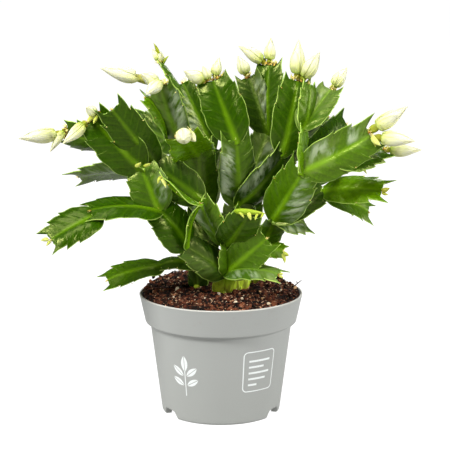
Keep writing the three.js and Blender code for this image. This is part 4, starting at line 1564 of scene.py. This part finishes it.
@dataclass
class BudCluster:
    """The buds on one joint's end, with the woolly cushion that carries them and its bracts."""

    name: str
    blade: Blade
    buds: tuple[Bud, ...]
    rows: int = 26
    sides: int = 28
    small_radius: float = 3.2
    bracts: int = 22
    fullest: float = 0.36

    @property
    def reach(self) -> float:
        """How far the cushion reaches to each side."""
        return AREOLE_HALF + max(0.0, *(abs(bud.side) for bud in self.buds))

    def girth(self, bud: Bud, share: Array) -> Array:
        """A bud's radius as a share of its fullest: it swells smoothly up to its fullest place and falls
        to a fine point as the power 1.25 of a quarter cosine.

        Args:
            bud: The bud.
            share: How far along it, from 0 to 1.

        Returns:
            The share there.
        """
        share = (share - bud.stalk + 0.13) / (1.13 - bud.stalk)
        swell = 0.42 + 0.58 * ease(share, -0.05, self.fullest)
        ahead = np.clip((share - self.fullest) / (1.0 - self.fullest), 0.0, 1.0)
        return swell * np.cos(np.pi / 2.0 * ahead) ** 1.25

    def core(self, bud: Bud, number: int) -> Shell:
        """The bud's inner body, turned from its girth, on a narrow ribbed cup below the petals.

        Args:
            bud: The bud.
            number: What its draws are made for.

        Returns:
            The body along Z from 0 to 1.
        """
        share, angle = rod_heights(self.rows, 0.985), circle(self.sides)
        inner = bud.radius * self.girth(bud, share) * 0.9
        cup = bud.radius * (0.4 + 0.12 * np.sin(np.pi * np.clip(share / bud.stalk, 0.0, 1.0)))
        grown = ease(share, bud.stalk, bud.stalk + 0.08)
        ribs = 1.0 + (0.02 + 0.05 * (1.0 - grown)) * np.sin(5.0 * angle + number)
        shell = turned((cup + (inner - cup) * grown) * ribs, share)
        x, y, along = shell.points.T
        olive = 1.0 - ease(along, bud.stalk - 0.03, bud.stalk + 0.05)
        olive = olive * (0.55 + 0.45 * chance(number, 31.0))
        return shell.painted(along=along, olive=olive, off_edge=5.0, round=np.arctan2(y, x))

    def petal(self, bud: Bud, turn: float, low: float, high: float, reach: float, lift: float) -> Shell:
        """One furled petal or scale: a patch wrapped on the bud's girth, wide below and pointed at its end.

        At share v of its length its half angle is reach times the root of 1 - v to the power 2.4, and it
        stands off the bud by lift, a little more along its free edge.

        Args:
            bud: The bud that it wraps.
            turn: The angle of its middle.
            low: Where along the bud it starts.
            high: Where its point is.
            reach: Half angle at its foot.
            lift: How far off the girth it stands, in millimetres.

        Returns:
            The petal as a thin closed body along Z from 0 to 1.
        """
        v = np.linspace(0.0, 1.0, 15)[:, None]
        u = np.linspace(-1.0, 1.0, 13)[None]
        share = low + (high - low) * v + 0 * u
        half = reach * np.sqrt(np.clip(1.0 - v**2.4, 0.0, 1.0)) + 0.02
        angle = turn + half * u
        edge_lift = lift * (1.0 - 0.6 * v) + 0.1 * np.abs(u) ** 4
        outer = bud.radius * self.girth(bud, share) * 0.92 + edge_lift
        thick = (0.07 + 0.16 * (1.0 - u**2) * (1.0 - 0.75 * v)) * (np.abs(u) < 1.0)
        upper, lower = (
            np.stack([radius * np.cos(angle), radius * np.sin(angle), share], -1)
            for radius in (outer + thick, outer - thick)
        )
        off_edge = (1.0 - np.abs(u)) * half * bud.radius
        return closed_strip(upper, lower, {"along": share, "off_edge": off_edge, "round": angle})

    def bud_shell(self, bud: Bud, number: int) -> Shell:
        """A whole bud.

        Args:
            bud: The bud.
            number: What its draws are made for.

        Returns:
            Its core and every whorl, in place.
        """
        spin = 6.28 * chance(number, 2.0)
        parts = [self.core(bud, number)]
        for whorl in WHORLS:
            for petal in range(whorl.on_small if bud.radius < self.small_radius else whorl.count):
                turn = spin + whorl.first_turn + petal * whorl.apart
                high = whorl.high + whorl.vary * chance(number + petal, whorl.salt)
                lift = whorl.lift + whorl.second_lift * (petal % 2)
                parts.append(self.petal(bud, turn, bud.stalk + whorl.low, high, whorl.reach, lift))
        whole = Shell.joined(parts)
        # painted shade: the buds that face the viewer are turned towards olive
        whole.painted(olive=np.maximum(whole.paint["olive"], bud.tone))
        bow = 0.035 * (chance(number, 8.0) - 0.5) * 2.0
        return carried(whole, self.stand(bud.side), place(bud.tip), spin, bow)

    def stand(self, side: float) -> Array:
        """Where a bud that far aside stands: off the cut-off end by the clearance and half the cushion."""
        end = self.blade.at(HORN_FOOT.edge, 2.0 * side / self.blade.joint.width)
        return end + (CLEARANCE + AREOLE_THICK) * self.blade.along

    def cushion(self, number: int) -> Shell:
        """The woolly cushion: dry scales heaped along the cut-off end, and pointed bracts out of them.

        Args:
            number: What its draws are made for.

        Returns:
            The scales and the bracts.
        """
        blade, reach = self.blade, self.reach - 0.6
        end = blade.at(HORN_FOOT.edge, 0.0)
        count = 9 + int(2 * reach)
        aside, ahead, off = (draws(count, number + 1.0) - 0.5).T[:, :, None]
        centres = end + (0.7 + 1.5 * ahead) * blade.along
        centres = centres + 2.0 * reach * aside * blade.side + 2.6 * off * blade.face
        size = 0.7 + 0.6 * chance(np.arange(count), number + 4.0)
        scales = lumps(centres, size[:, None] * np.array([1.2, 0.6, 0.8]), number + 0.5, 0.35)
        aside, off, tilt, length = (draws(self.bracts, number + 11.0, 4) - 0.5).T[:, :, None]
        bases = end + 0.5 * blade.along
        bases = bases + 2.0 * self.reach * aside * blade.side + 2.4 * off * blade.face
        lean = unit(blade.along + 1.5 * tilt * blade.side + 2.6 * off * blade.face)
        bracts = spikes(bases, bases + lean * (3.6 + 2.8 * length), (0.725 + 0.45 * tilt)[:, 0])
        return Shell.joined([scales, bracts.painted(tint=np.repeat(0.7 + 0.5 * length, 4))])

    def build(self, petals: Material, wool: Material, number: int) -> None:
        """Makes the cluster's pieces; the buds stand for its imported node.

        Args:
            petals: The buds' finish.
            wool: The cushion's finish.
            number: What its draws are made for.
        """
        shells = [self.bud_shell(bud, 7 * number + k) for k, bud in enumerate(self.buds)]
        make_piece(f"{self.name}_petals", Shell.joined(shells), petals, [self.name])
        make_piece(f"{self.name}_cushion", self.cushion(number), wool)


@dataclass(frozen=True)
class Shoot:
    """A young bract, tiny bud or dry spike: where it starts, where its point is, its radius, where on a
    bud's colours it stands, from green at 0 to ivory at 1, and how olive it is."""

    start: Spot
    tip: Spot
    radius: float
    ripe: float = 0.3
    olive: float = 0.0


SHOOTS: tuple[Shoot, ...] = (
    Shoot((9, 149, -52), (33, 147, -55), 2.2, 0.07), Shoot((13, 148, -54), (17, 143.5, -57), 0.9, 0.2),
    Shoot((20, 148, -55), (22, 142, -59), 1.4, 0.3), Shoot((27, 147, -55), (25, 142, -58), 0.9, 0.2),
    Shoot((31, 147, -55), (29, 144, -57), 0.8, 0.16),
    Shoot((46, 118, -9), (50, 116, -14), 1.5, 0.2), Shoot((45, 117, -9), (47, 110, -13), 1.4, 0.25),
    Shoot((-43, 173, -57), (-40, 166, -62), 1.5, 0.45), Shoot((-44, 174, -56), (-46, 169, -60), 1.1, 0.2),
    Shoot((-126, 128, -80), (-132, 127, -83), 1.5, 0.5),
    Shoot((-125, 127, -80), (-128, 123, -82), 1.1, 0.3),
    Shoot((109, 204, -44), (116, 197, -51), 2.0, 0.45),
    Shoot((110, 202, -42), (112, 196, -46), 1.1, 0.2, 0.5),
    Shoot((101, 182, -30), (109, 180, -34), 1.3, 0.25), Shoot((101, 182, -30), (106, 176, -33), 1.1, 0.3),
    Shoot((101, 183, -30), (106, 186, -33), 1.0, 0.25, 0.3),
    Shoot((117, 164, -25), (123, 166, -28), 1.8, 0.3, 0.7),
    Shoot((117, 163, -25), (122, 161, -28), 1.1, 0.2, 0.5),
    Shoot((43, 101, -46), (46, 99, -48), 1.0, 0.4), Shoot((43, 102, -46), (46, 102, -48), 0.8, 0.25),
    Shoot((-44, 262, 33), (-48, 271, 33), 1.3, 0.05, 0.6),
    Shoot((-41, 256, 33), (-37, 262, 31), 1.0, 0.1, 0.3),
    Shoot((-92, 218, -48), (-96, 214, -56), 1.5, 0.3, 0.2),
    Shoot((-89, 219, -48), (-92, 213, -55), 1.3, 0.2),
    Shoot((-62, 182, -42), (-58, 185, -48), 1.4, 0.3), Shoot((-56, 182, -42), (-51, 184, -48), 1.2, 0.25),
)


@dataclass
class YoungGrowth:
    """The small bracts, tiny buds and spikes that the photograph shows on some ends."""

    shoots: tuple[Shoot, ...] = SHOOTS
    rows: int = 12
    sides: int = 14

    def build(self, petals: Material) -> None:
        """Makes them as one piece: pointed bodies, fullest at a third.

        Args:
            petals: Their finish.
        """
        share, angle = np.linspace(0.0, 1.0, self.rows)[:, None], circle(self.sides)
        swell = np.sin(np.pi * (0.12 + 0.88 * share) ** 0.8) ** 0.9
        shells = []
        for number, shoot in enumerate(self.shoots):
            shell = turned(shoot.radius * swell * (1.0 + 0.06 * np.sin(3.0 * angle + number)), share)
            x, y, along = shell.points.T
            ripe = shoot.ripe + 0.15 * along
            shell.painted(along=ripe, olive=shoot.olive, off_edge=5.0, round=np.arctan2(y, x))
            shells.append(carried(shell, place(shoot.start), place(shoot.tip), number, 0.08))
        make_piece("young_growth", Shell.joined(shells), petals)


@dataclass
class Wool:
    """Small tufts in every notch and on the ends that carry no buds."""

    stems: dict[str, dict[str, Blade]]
    hairs: int = 5

    def build(self, wool: Material) -> None:
        """Makes one piece of tufts for each stem: five hairs round a small pad at each place.

        Args:
            wool: Their finish.
        """
        for stem, blades in self.stems.items():
            spots = [spot for blade in blades.values() for spot in blade.wool_places()]
            where, out, size = (np.array(column) for column in zip(*spots))
            number = np.arange(len(where) * self.hairs)
            base = np.repeat(where, self.hairs, axis=0)
            scale = np.repeat(size, self.hairs)[:, None]
            jitter = draws(len(number), 21.0) - 0.5
            lean = unit(np.repeat(out, self.hairs, axis=0) + 1.3 * jitter)
            tips = base + lean * scale * (1.0 + 1.1 * chance(number, 24.0)[:, None])
            hairs = spikes(base + 0.5 * scale * jitter, tips, 0.16 * scale[:, 0])
            hairs.painted(tint=np.repeat(0.35 + 0.65 * chance(number, 25.0), 4))
            pads = lumps(where + 0.15 * out, 0.42 * size[:, None] * np.ones(3), 26.0)
            make_piece(f"{stem}_wool", Shell.joined([hairs, pads]), wool)


def wall_inside(height: Array) -> Array:
    """The pot's inner radius at some heights, straight from one of its steps to the next."""
    heights = [FLOOR_TOP, BODY_TOP_HEIGHT, BAND_FOOT_HEIGHT, POT_HEIGHT]
    return np.interp(height, heights, [FOOT_RADIUS, BODY_TOP_RADIUS, BAND_FOOT_RADIUS, RIM_RADIUS]) - WALL


@dataclass
class NurseryPot:
    """The pot: a turned wall with a stepped band, a rolled lip, arches in its foot and drain holes."""

    steps_round: int = 400
    notch_across: Numbers = (0.0, 3.4, 5.6, 6.84, 9.1)
    notch_up: Numbers = (NOTCH_HEIGHT, NOTCH_HEIGHT, 5.0, 4.2, 0.0)
    lift_reach: float = 22.0
    band_foot: Pixel = (55.87, 69.2)
    band_top: Pixel = (59.72, 87.1)
    lip_middle: Pixel = (59.22, 87.92)
    lip_radius: float = 0.78
    inner_heights: Numbers = (
        87.4, 84.0, 78.0, 72.0, BAND_FOOT_HEIGHT, BODY_TOP_HEIGHT, 50.0, 30.0, FLOOR_TOP
    )
    floor_radii: Numbers = (0.0, 12.0, 30.0)
    drain_sides: int = 24

    def notch(self, angle: Array) -> Array:
        """How high the foot's edge is cut: the arch's height at that distance from its middle.

        Args:
            angle: Angles round the pot.

        Returns:
            Millimetres for each.
        """
        height = np.zeros_like(angle)
        for degrees in NOTCH_ANGLES:
            off = np.abs((angle - math.radians(degrees) + np.pi) % (2.0 * np.pi) - np.pi)
            height = np.maximum(height, np.interp(off * FOOT_RADIUS, self.notch_across, self.notch_up))
        return height

    def outer_profile(self) -> Array:
        """The outside from the foot's round over the step to the rolled lip.

        Returns:
            Radius and height of each row.
        """
        turn = np.linspace(0.0, np.pi / 2.0, 6)
        bend = np.stack([np.sin(turn) - 1.0, 1.0 - np.cos(turn)], -1)
        foot = np.array([FOOT_RADIUS, 0.0]) + FOOT_ROUND * bend
        share = np.linspace(0.0, 1.0, 28)[1:, None]
        start, top = foot[-1], np.array([BODY_TOP_RADIUS, BODY_TOP_HEIGHT])
        body = start + (top - start) * share
        step = bezier([(51.95, 65.6), (52.1, 66.6), (52.9, 66.9), (54.2, 67.4)], 5)
        under = bezier([(54.2, 67.4), (55.3, 67.8), (55.8, 68.2), self.band_foot], 5)
        band_foot, band_top = np.array(self.band_foot), np.array(self.band_top)
        band = band_foot + (band_top - band_foot) * np.linspace(0.0, 1.0, 12)[:-1, None]
        roll = np.linspace(-0.5, 3.3, 9)
        lip = np.array(self.lip_middle) + self.lip_radius * np.stack([np.cos(roll), np.sin(roll)], -1)
        return np.concatenate([foot, body, step, under, band, lip])

    def build(self, plastic: Material) -> None:
        """Makes the pot's piece, whose lower rows rise into the arches, and cuts its drain holes.

        Args:
            plastic: Its finish.
        """
        outer = self.outer_profile()
        heights = np.array(self.inner_heights)
        inner = np.stack([wall_inside(heights), heights], -1)
        plate = [(radius, FLOOR_UNDERSIDE) for radius in self.floor_radii]
        ring = [(FOOT_INSIDE - 0.5, FLOOR_UNDERSIDE), (FOOT_INSIDE - 0.2, 3.0), (FOOT_INSIDE, 0.0)]
        under = np.array(plate + ring)
        floor = np.array([(radius, FLOOR_TOP) for radius in reversed(self.floor_radii)])
        profile = np.concatenate([under, outer, inner, floor])
        lifts = np.clip(1.0 - profile[:, 1] / self.lift_reach, 0.0, 1.0)
        first, end = len(under), len(under) + len(outer)
        lifts[: first - 2] = 0.0
        lifts[first - 2] = 0.4
        lifts[end:] = 0.0
        rise = self.notch(circle(self.steps_round) + np.pi / 2.0) * lifts[:, None]
        slope = np.zeros((len(profile), 1))
        slope[first:end] = (BODY_TOP_RADIUS - FOOT_RADIUS) / (BODY_TOP_HEIGHT - FOOT_ROUND)
        radius, height = profile.T[:, :, None]
        wall = turned(radius + rise * slope, height + rise)
        self.drain(make_piece("pot_wall", wall, plastic, ["pot"]))

    def drain(self, pot: bpy.types.Object) -> None:
        """Cuts the drain holes through the floor with one body of round bars.

        Args:
            pot: The pot's piece.
        """
        radius = np.full((4, self.drain_sides), DRAIN_RADIUS)
        height = np.array([-2.0, -2.0, 2.0, 2.0])[:, None] + (FLOOR_UNDERSIDE + FLOOR_TOP) / 2.0
        bars = [turned(radius, height) for _ in range(DRAIN_HOLES)]
        for hole, bar in enumerate(bars):
            turn = (hole + 0.5) / DRAIN_HOLES * 2.0 * math.pi
            bar.points += DRAIN_CIRCLE * np.array([math.cos(turn), math.sin(turn), 0.0])
        cutter = make_piece("drain_cutter", Shell.joined(bars), pot.data.materials[0])
        modifier = pot.modifiers.new("drain", "BOOLEAN")
        modifier.operation = "DIFFERENCE"
        modifier.solver = "EXACT"
        modifier.object = cutter
        bpy.context.view_layer.update()
        cut = bpy.data.meshes.new_from_object(pot.evaluated_get(bpy.context.evaluated_depsgraph_get()))
        pot.modifiers.clear()
        pot.data = cut
        bpy.data.objects.remove(cutter)


def soil_top(x: Array, y: Array) -> Array:
    """Height of the peat: a low crown, a heap towards the back, a slight lean and slow lumps.

    Args:
        x: Places across.
        y: Places towards the back.

    Returns:
        The height at each place.
    """
    share = np.hypot(x, y) / RIM_RADIUS
    back = np.maximum(0.0, (y - SOIL_HEAP_START) / RIM_RADIUS)
    heap = back * SOIL_BACK_HEAP * (1.0 - SOIL_HEAP_FALL * share**4)
    lump = SOIL_LUMP * (np.sin(x * 0.33 + y * 0.21) + np.sin(y * 0.41 - x * 0.17 + 2.0))
    return SOIL_LEVEL + SOIL_CROWN * (1.0 - share**2) + heap - SOIL_LEAN * x + lump


def on_soil(pixel: Pixel) -> Array:
    """Where the sight line of a pixel of the photograph meets the peat, found by stepping along it.

    Args:
        pixel: Across and down the frame.

    Returns:
        The point on the peat.
    """
    ahead = np.array([0.0, math.cos(EYE_PITCH), -math.sin(EYE_PITCH)])
    above = np.array([0.0, math.sin(EYE_PITCH), math.cos(EYE_PITCH)])
    across, up = pixel[0] - FRAME_PIXELS / 2.0, FRAME_PIXELS / 2.0 - pixel[1]
    ray = ahead * FOCAL_PIXELS + np.array([1.0, 0.0, 0.0]) * across + above * up
    reach = np.linspace(-SOIL_REACH, SOIL_REACH, 400) - EYE[1]
    line = EYE + ray * (reach / ray[1])[:, None]
    x, y, z = line[np.hypot(line[:, 0], line[:, 1]) < SOIL_REACH].T
    level = soil_top(x, y)
    met = np.argmax(z < level) if np.any(z < level) else -1
    return np.array([x[met], y[met], level[met]])


@dataclass(frozen=True)
class PaleBit:
    """A pale bit that the photograph shows in the peat: its pixel and how wide it is."""

    pixel: Pixel
    wide: float


PALE_BITS: tuple[PaleBit, ...] = (
    PaleBit((177.5, 290.7), 4.4), PaleBit((181.0, 271.0), 3.8), PaleBit((163.0, 291.0), 1.6),
    PaleBit((172.0, 295.5), 2.2), PaleBit((173.0, 285.0), 1.8), PaleBit((219.0, 294.5), 3.0),
    PaleBit((235.5, 302.8), 2.8), PaleBit((242.0, 299.5), 2.6), PaleBit((268.5, 304.5), 3.4),
    PaleBit((260.0, 292.5), 2.4), PaleBit((262.0, 299.5), 2.4), PaleBit((281.0, 290.7), 2.0),
    PaleBit((280.0, 284.5), 2.2), PaleBit((285.5, 282.0), 1.8), PaleBit((295.0, 288.5), 3.2),
    PaleBit((201.0, 288.0), 1.8),
)


@dataclass
class PeatBed:
    """The peat: a heaped bed of crumbs, loose crumbs and fibres on it, pale bits and a twig."""

    rings: int = 118
    steps_round: int = 460
    shore: float = 57.9
    shore_drop: float = 1.6
    repose: float = 0.8
    crumb_sizes: Numbers = (5.6, 2.9, 1.6)
    crumb_heights: Numbers = (1.25, 1.05, 0.6)
    crumb_tints: Numbers = (0.3, 0.4, 0.3)
    loose: int = 900
    fibres: int = 160
    specks: int = 110
    twig_pixel: Pixel = (292.0, 289.0)
    twig_lean: Spot = (8.0, 1.0, 7.0)
    tuft_pixel: Pixel = (239.0, 284.5)
    tuft_blades: int = 26

    def bed(self) -> Shell:
        """The bed: rings of crumb domes in three sizes, turned down inside the pot and closed below.

        Returns:
            The bed, painted with each place's height and its crumb's draw.
        """
        share = np.linspace(0.0, 1.0, self.rings) ** 0.72
        radius, angle = (share * self.shore)[:, None], circle(self.steps_round)
        x, y = radius * np.cos(angle), radius * np.sin(angle)
        relief, tint = np.zeros(x.shape), np.zeros(x.shape)
        for layer, size in enumerate(self.crumb_sizes):
            domes, draw = crumb_domes(x, y, size, 11 + 20 * layer)
            relief = relief + self.crumb_heights[layer] * domes
            tint = tint + self.crumb_tints[layer] * draw
        slope = POT_HEIGHT - 0.6 + self.repose * (self.shore - radius)
        height = np.minimum(soil_top(x, y) - 1.5, slope) + relief
        height[-1] = POT_HEIGHT - self.shore_drop
        steps = (BAND_FOOT_HEIGHT, BODY_TOP_HEIGHT, FLOOR_TOP, FLOOR_TOP)
        low_height = np.array(steps)[:, None] + CLEARANCE + 0 * angle
        low_radius = wall_inside(low_height) - CLEARANCE

        def on_points(grid: Array) -> Array:
            """Numbers of the rings, and 0 for those below, in the order of the turned body's points."""
            rows = np.concatenate([grid, 0 * low_height])[::-1]
            return np.concatenate([rows[0, :1], rows[1:-1].reshape(-1), rows[-1, :1]])

        radii = np.concatenate([radius + 0 * angle, low_radius])[::-1]
        shell = turned(radii, np.concatenate([height, low_height])[::-1])
        return shell.painted(high=on_points(relief / 2.6), tint=on_points(tint))

    def scatter(self, count: int, salt: float, lift: float) -> Array:
        """Places drawn evenly over the peat's disc.

        Args:
            count: How many.
            salt: Sets one series of draws apart from another.
            lift: How far above the peat they are.

        Returns:
            The places.
        """
        number = np.arange(count)
        radius = SOIL_REACH * np.sqrt(chance(number, salt))
        angle = 2.0 * np.pi * chance(number, salt + 0.5)
        x, y = radius * np.cos(angle), radius * np.sin(angle)
        return np.stack([x, y, soil_top(x, y) + lift], -1)

    def crumbs(self) -> Shell:
        """Loose crumbs on the bed, a few of them long like bits of bark.

        Returns:
            The crumbs, painted as high ones.
        """
        number = np.arange(self.loose)
        size = 0.55 + 1.15 * chance(number, 62.0) ** 2
        shape = np.stack([0.8 + 0.9 * chance(number, 63.0) ** 3, 0 * number + 0.85, 0 * number + 0.7], -1)
        places = self.scatter(self.loose, 61.0, 0.35)
        return lumps(places, size[:, None] * shape, 64.0, 0.3).painted(high=0.8)

    def strands(self) -> Shell:
        """Short dark fibres that lie on the crumbs.

        Returns:
            The fibres.
        """
        bases, number = self.scatter(self.fibres, 71.0, 0.6), np.arange(self.fibres)
        turn = 2.0 * np.pi * chance(number, 72.0)
        length = 1.5 + 4.0 * chance(number, 73.0)
        aim = np.stack([np.cos(turn), np.sin(turn), 0.35 * (chance(number, 74.0) - 0.3)], -1)
        shell = spikes(bases, bases + aim * length[:, None], np.full(self.fibres, 0.2))
        return shell.painted(tint=np.repeat(0.7 * chance(number, 75.0), 4))

    def pale(self) -> Shell:
        """The pale bits: those that the photograph shows, and small specks all over.

        Returns:
            The bits.
        """
        shown = np.array([on_soil(bit.pixel) for bit in PALE_BITS]) + 0.5 * UP
        wide = np.array([bit.wide for bit in PALE_BITS])
        sizes = 0.5 * wide[:, None] * np.array([1.0, 0.8, 0.62])
        small = (0.3 + 0.5 * chance(np.arange(self.specks), 82.0) ** 3)[:, None]
        specks = lumps(self.scatter(self.specks, 81.0, 0.5), small * np.ones(3), 84.0)
        return Shell.joined([lumps(shown, sizes, 83.0, 0.22), specks])

    def twig(self) -> Shell:
        """A thin dry twig that leans out of the peat on the right, with one short fork.

        Returns:
            The twig.
        """
        base = on_soil(self.twig_pixel)
        top = base + np.array(self.twig_lean)
        fork = base + 0.55 * (top - base)
        share, angle = np.linspace(0.0, 1.0, 9)[:, None], circle(8)
        radius = (0.6 - 0.4 * share) * (1.0 + 0.15 * np.sin(3.0 * angle + 8.0 * share))
        main = carried(turned(radius, share), base - 1.0, top, 0.0, 0.12)
        side = carried(turned(0.7 * radius, share), fork, fork + np.array([-1.6, 0.3, 1.9]))
        return Shell.joined([main, side]).painted(tint=0.1)

    def tuft(self) -> Shell:
        """The withered tan tuft at the foot of the front stem.

        Returns:
            Its dry blades.
        """
        spread = draws(self.tuft_blades, 91.0) - 0.5
        bases = on_soil(self.tuft_pixel) + spread * np.array([5.0, 3.0, 0.6])
        tips = bases + spread * np.array([5.0, 3.0, 2.0]) + np.array([0.0, -0.6, 3.2])
        shell = spikes(bases, tips, np.full(self.tuft_blades, 0.42))
        return shell.painted(tint=np.repeat(0.75 + 0.25 * chance(np.arange(self.tuft_blades), 94.0), 4))

    def build(self, peat: Material, grain: Material, twig: Material) -> None:
        """Makes the bed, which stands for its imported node, and what lies on it.

        Args:
            peat: The crumbs' finish.
            grain: The pale bits' finish.
            twig: The finish of what is withered.
        """
        make_piece("peat_bed", self.bed(), peat, ["soil"])
        for name, shell, finish in (
            ("peat_crumbs", self.crumbs(), peat), ("pale_bits", self.pale(), grain),
            ("peat_fibres", self.strands(), twig), ("dry_twig", self.twig(), twig),
            ("withered_tuft", self.tuft(), twig),
        ):
            make_piece(name, shell, finish)


@dataclass(frozen=True)
class SoftBox:
    """A square studio light: where it stands, how wide it is and its power in watts."""

    name: str
    stand: Spot
    wide: float
    power: float


@dataclass(frozen=True)
class Studio:
    """A plain pale floor, soft lights and the photograph's camera."""

    aim: Spot = (0.0, 0.0, 0.15)
    floor_half: float = 14.0
    floor_colour: Colour = (0.12, 0.12, 0.12)
    floor_bounce: Colour = (0.5, 0.5, 0.5)
    surround: float = 0.07
    sun_strength: float = 0.3
    sun_spread: float = math.radians(70.0)
    sun_tilt: Spot = (math.radians(24.0), math.radians(-16.0), 0.0)
    lights: tuple[SoftBox, ...] = (
        SoftBox("key_light", (-0.8, -0.95, 1.25), 0.45, 29.0),
        SoftBox("fill_light", (1.15, -0.9, 0.8), 0.4, 12.5),
        SoftBox("back_light", (0.5, 1.1, 1.1), 0.7, 12.0),
        SoftBox("top_light", (0.0, -0.35, 1.45), 0.7, 9.5),
        SoftBox("left_light", (-1.7, -0.15, 0.35), 0.9, 14.0),
        SoftBox("right_light", (1.7, -0.15, 0.35), 0.9, 14.0),
    )

    def world(self) -> None:
        """White to the camera, and a softer grey to the surfaces, so that the greens keep their depth."""
        bpy.context.scene.world = bpy.data.worlds.new("surround")
        shader = Shader(bpy.context.scene.world)
        seen = shader.node("LightPath", output="Is Camera Ray")
        grey = shader.node("Background", None, {"Color": WHITE, "Strength": self.surround})
        white = shader.node("Background", None, {"Color": WHITE, "Strength": 1.0})
        shader.close("OutputWorld", shader.node("MixShader", None, {0: seen, 1: grey, 2: white}))

    def floor(self) -> None:
        """A wide pale floor, white to the camera, which isn't part of the object."""
        half = self.floor_half
        mesh = bpy.data.meshes.new("floor")
        corners = [(-half, -half, 0.0), (half, -half, 0.0), (half, half, 0.0), (-half, half, 0.0)]
        mesh.from_pydata(corners, [], [(0, 1, 2, 3)])
        shader = Shader.named("floor_white")
        glow = shader.mix(shader.node("LightPath", output="Is Camera Ray"), self.floor_bounce, WHITE)
        glowing = {"Emission_Color": glow, "Emission_Strength": 1.0}
        mesh.materials.append(shader.surface(self.floor_colour, 0.9, **glowing, Specular_IOR_Level=0.1))
        add_object("floor", mesh)

    def light(self, box: SoftBox) -> None:
        """Adds one soft box, turned to the plant.

        Args:
            box: The light.
        """
        data = bpy.data.lights.new(box.name, "AREA")
        data.shape = "SQUARE"
        data.size = box.wide
        data.energy = box.power
        lamp = add_object(box.name, data)
        lamp.location = box.stand
        lamp.rotation_mode = "QUATERNION"
        lamp.rotation_quaternion = (Vector(self.aim) - Vector(box.stand)).to_track_quat("-Z", "Y")

    def sun(self) -> None:
        """A broad even light from above, which keeps the floor white far out."""
        data = bpy.data.lights.new("even_light", "SUN")
        data.energy = self.sun_strength
        data.angle = self.sun_spread
        add_object("even_light", data).rotation_euler = self.sun_tilt

    def camera(self) -> None:
        """The photograph's camera: its place, tilt and focal length as a share of the frame."""
        data = bpy.data.cameras.new("camera")
        data.sensor_width = SENSOR
        data.lens = FOCAL_PIXELS / FRAME_PIXELS * SENSOR
        camera = add_object("camera", data)
        camera.location = EYE * MM
        camera.rotation_euler = (math.pi / 2.0 - EYE_PITCH, 0.0, 0.0)
        bpy.context.scene.camera = camera

    def build(self) -> None:
        """Sets up the camera, the lights and the floor."""
        self.camera()
        self.world()
        self.floor()
        for box in self.lights:
            self.light(box)
        self.sun()
        bpy.context.scene.view_settings.view_transform = "Standard"
        log.info("studio: %d soft boxes", len(self.lights))


def main() -> None:
    """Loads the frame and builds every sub-assembly round it."""
    logging.basicConfig(level=logging.INFO, format="%(name)s: %(message)s")
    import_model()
    Studio().build()
    NurseryPot().build(PotPlastic().material())
    PeatBed().build(PeatCrumb().material(), PaleGrain().material(), DryTwig().material())
    stems = lay_out()
    skin, wool, petals = StemSkin().material(), AreoleWool().material(), BudPetals().material()
    for name, blades in stems.items():
        Stem(name, blades).build(skin)
    every = {name: blade for blades in stems.values() for name, blade in blades.items()}
    for number, (name, buds) in enumerate(BUDS.items()):
        BudCluster(f"buds_{name}", every[name], buds).build(petals, wool, number)
    YoungGrowth().build(YOUNG_SKIN.material())
    Wool(stems).build(wool)
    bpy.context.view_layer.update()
    log.info("boxes written")


if __name__ == "__main__":
    main()
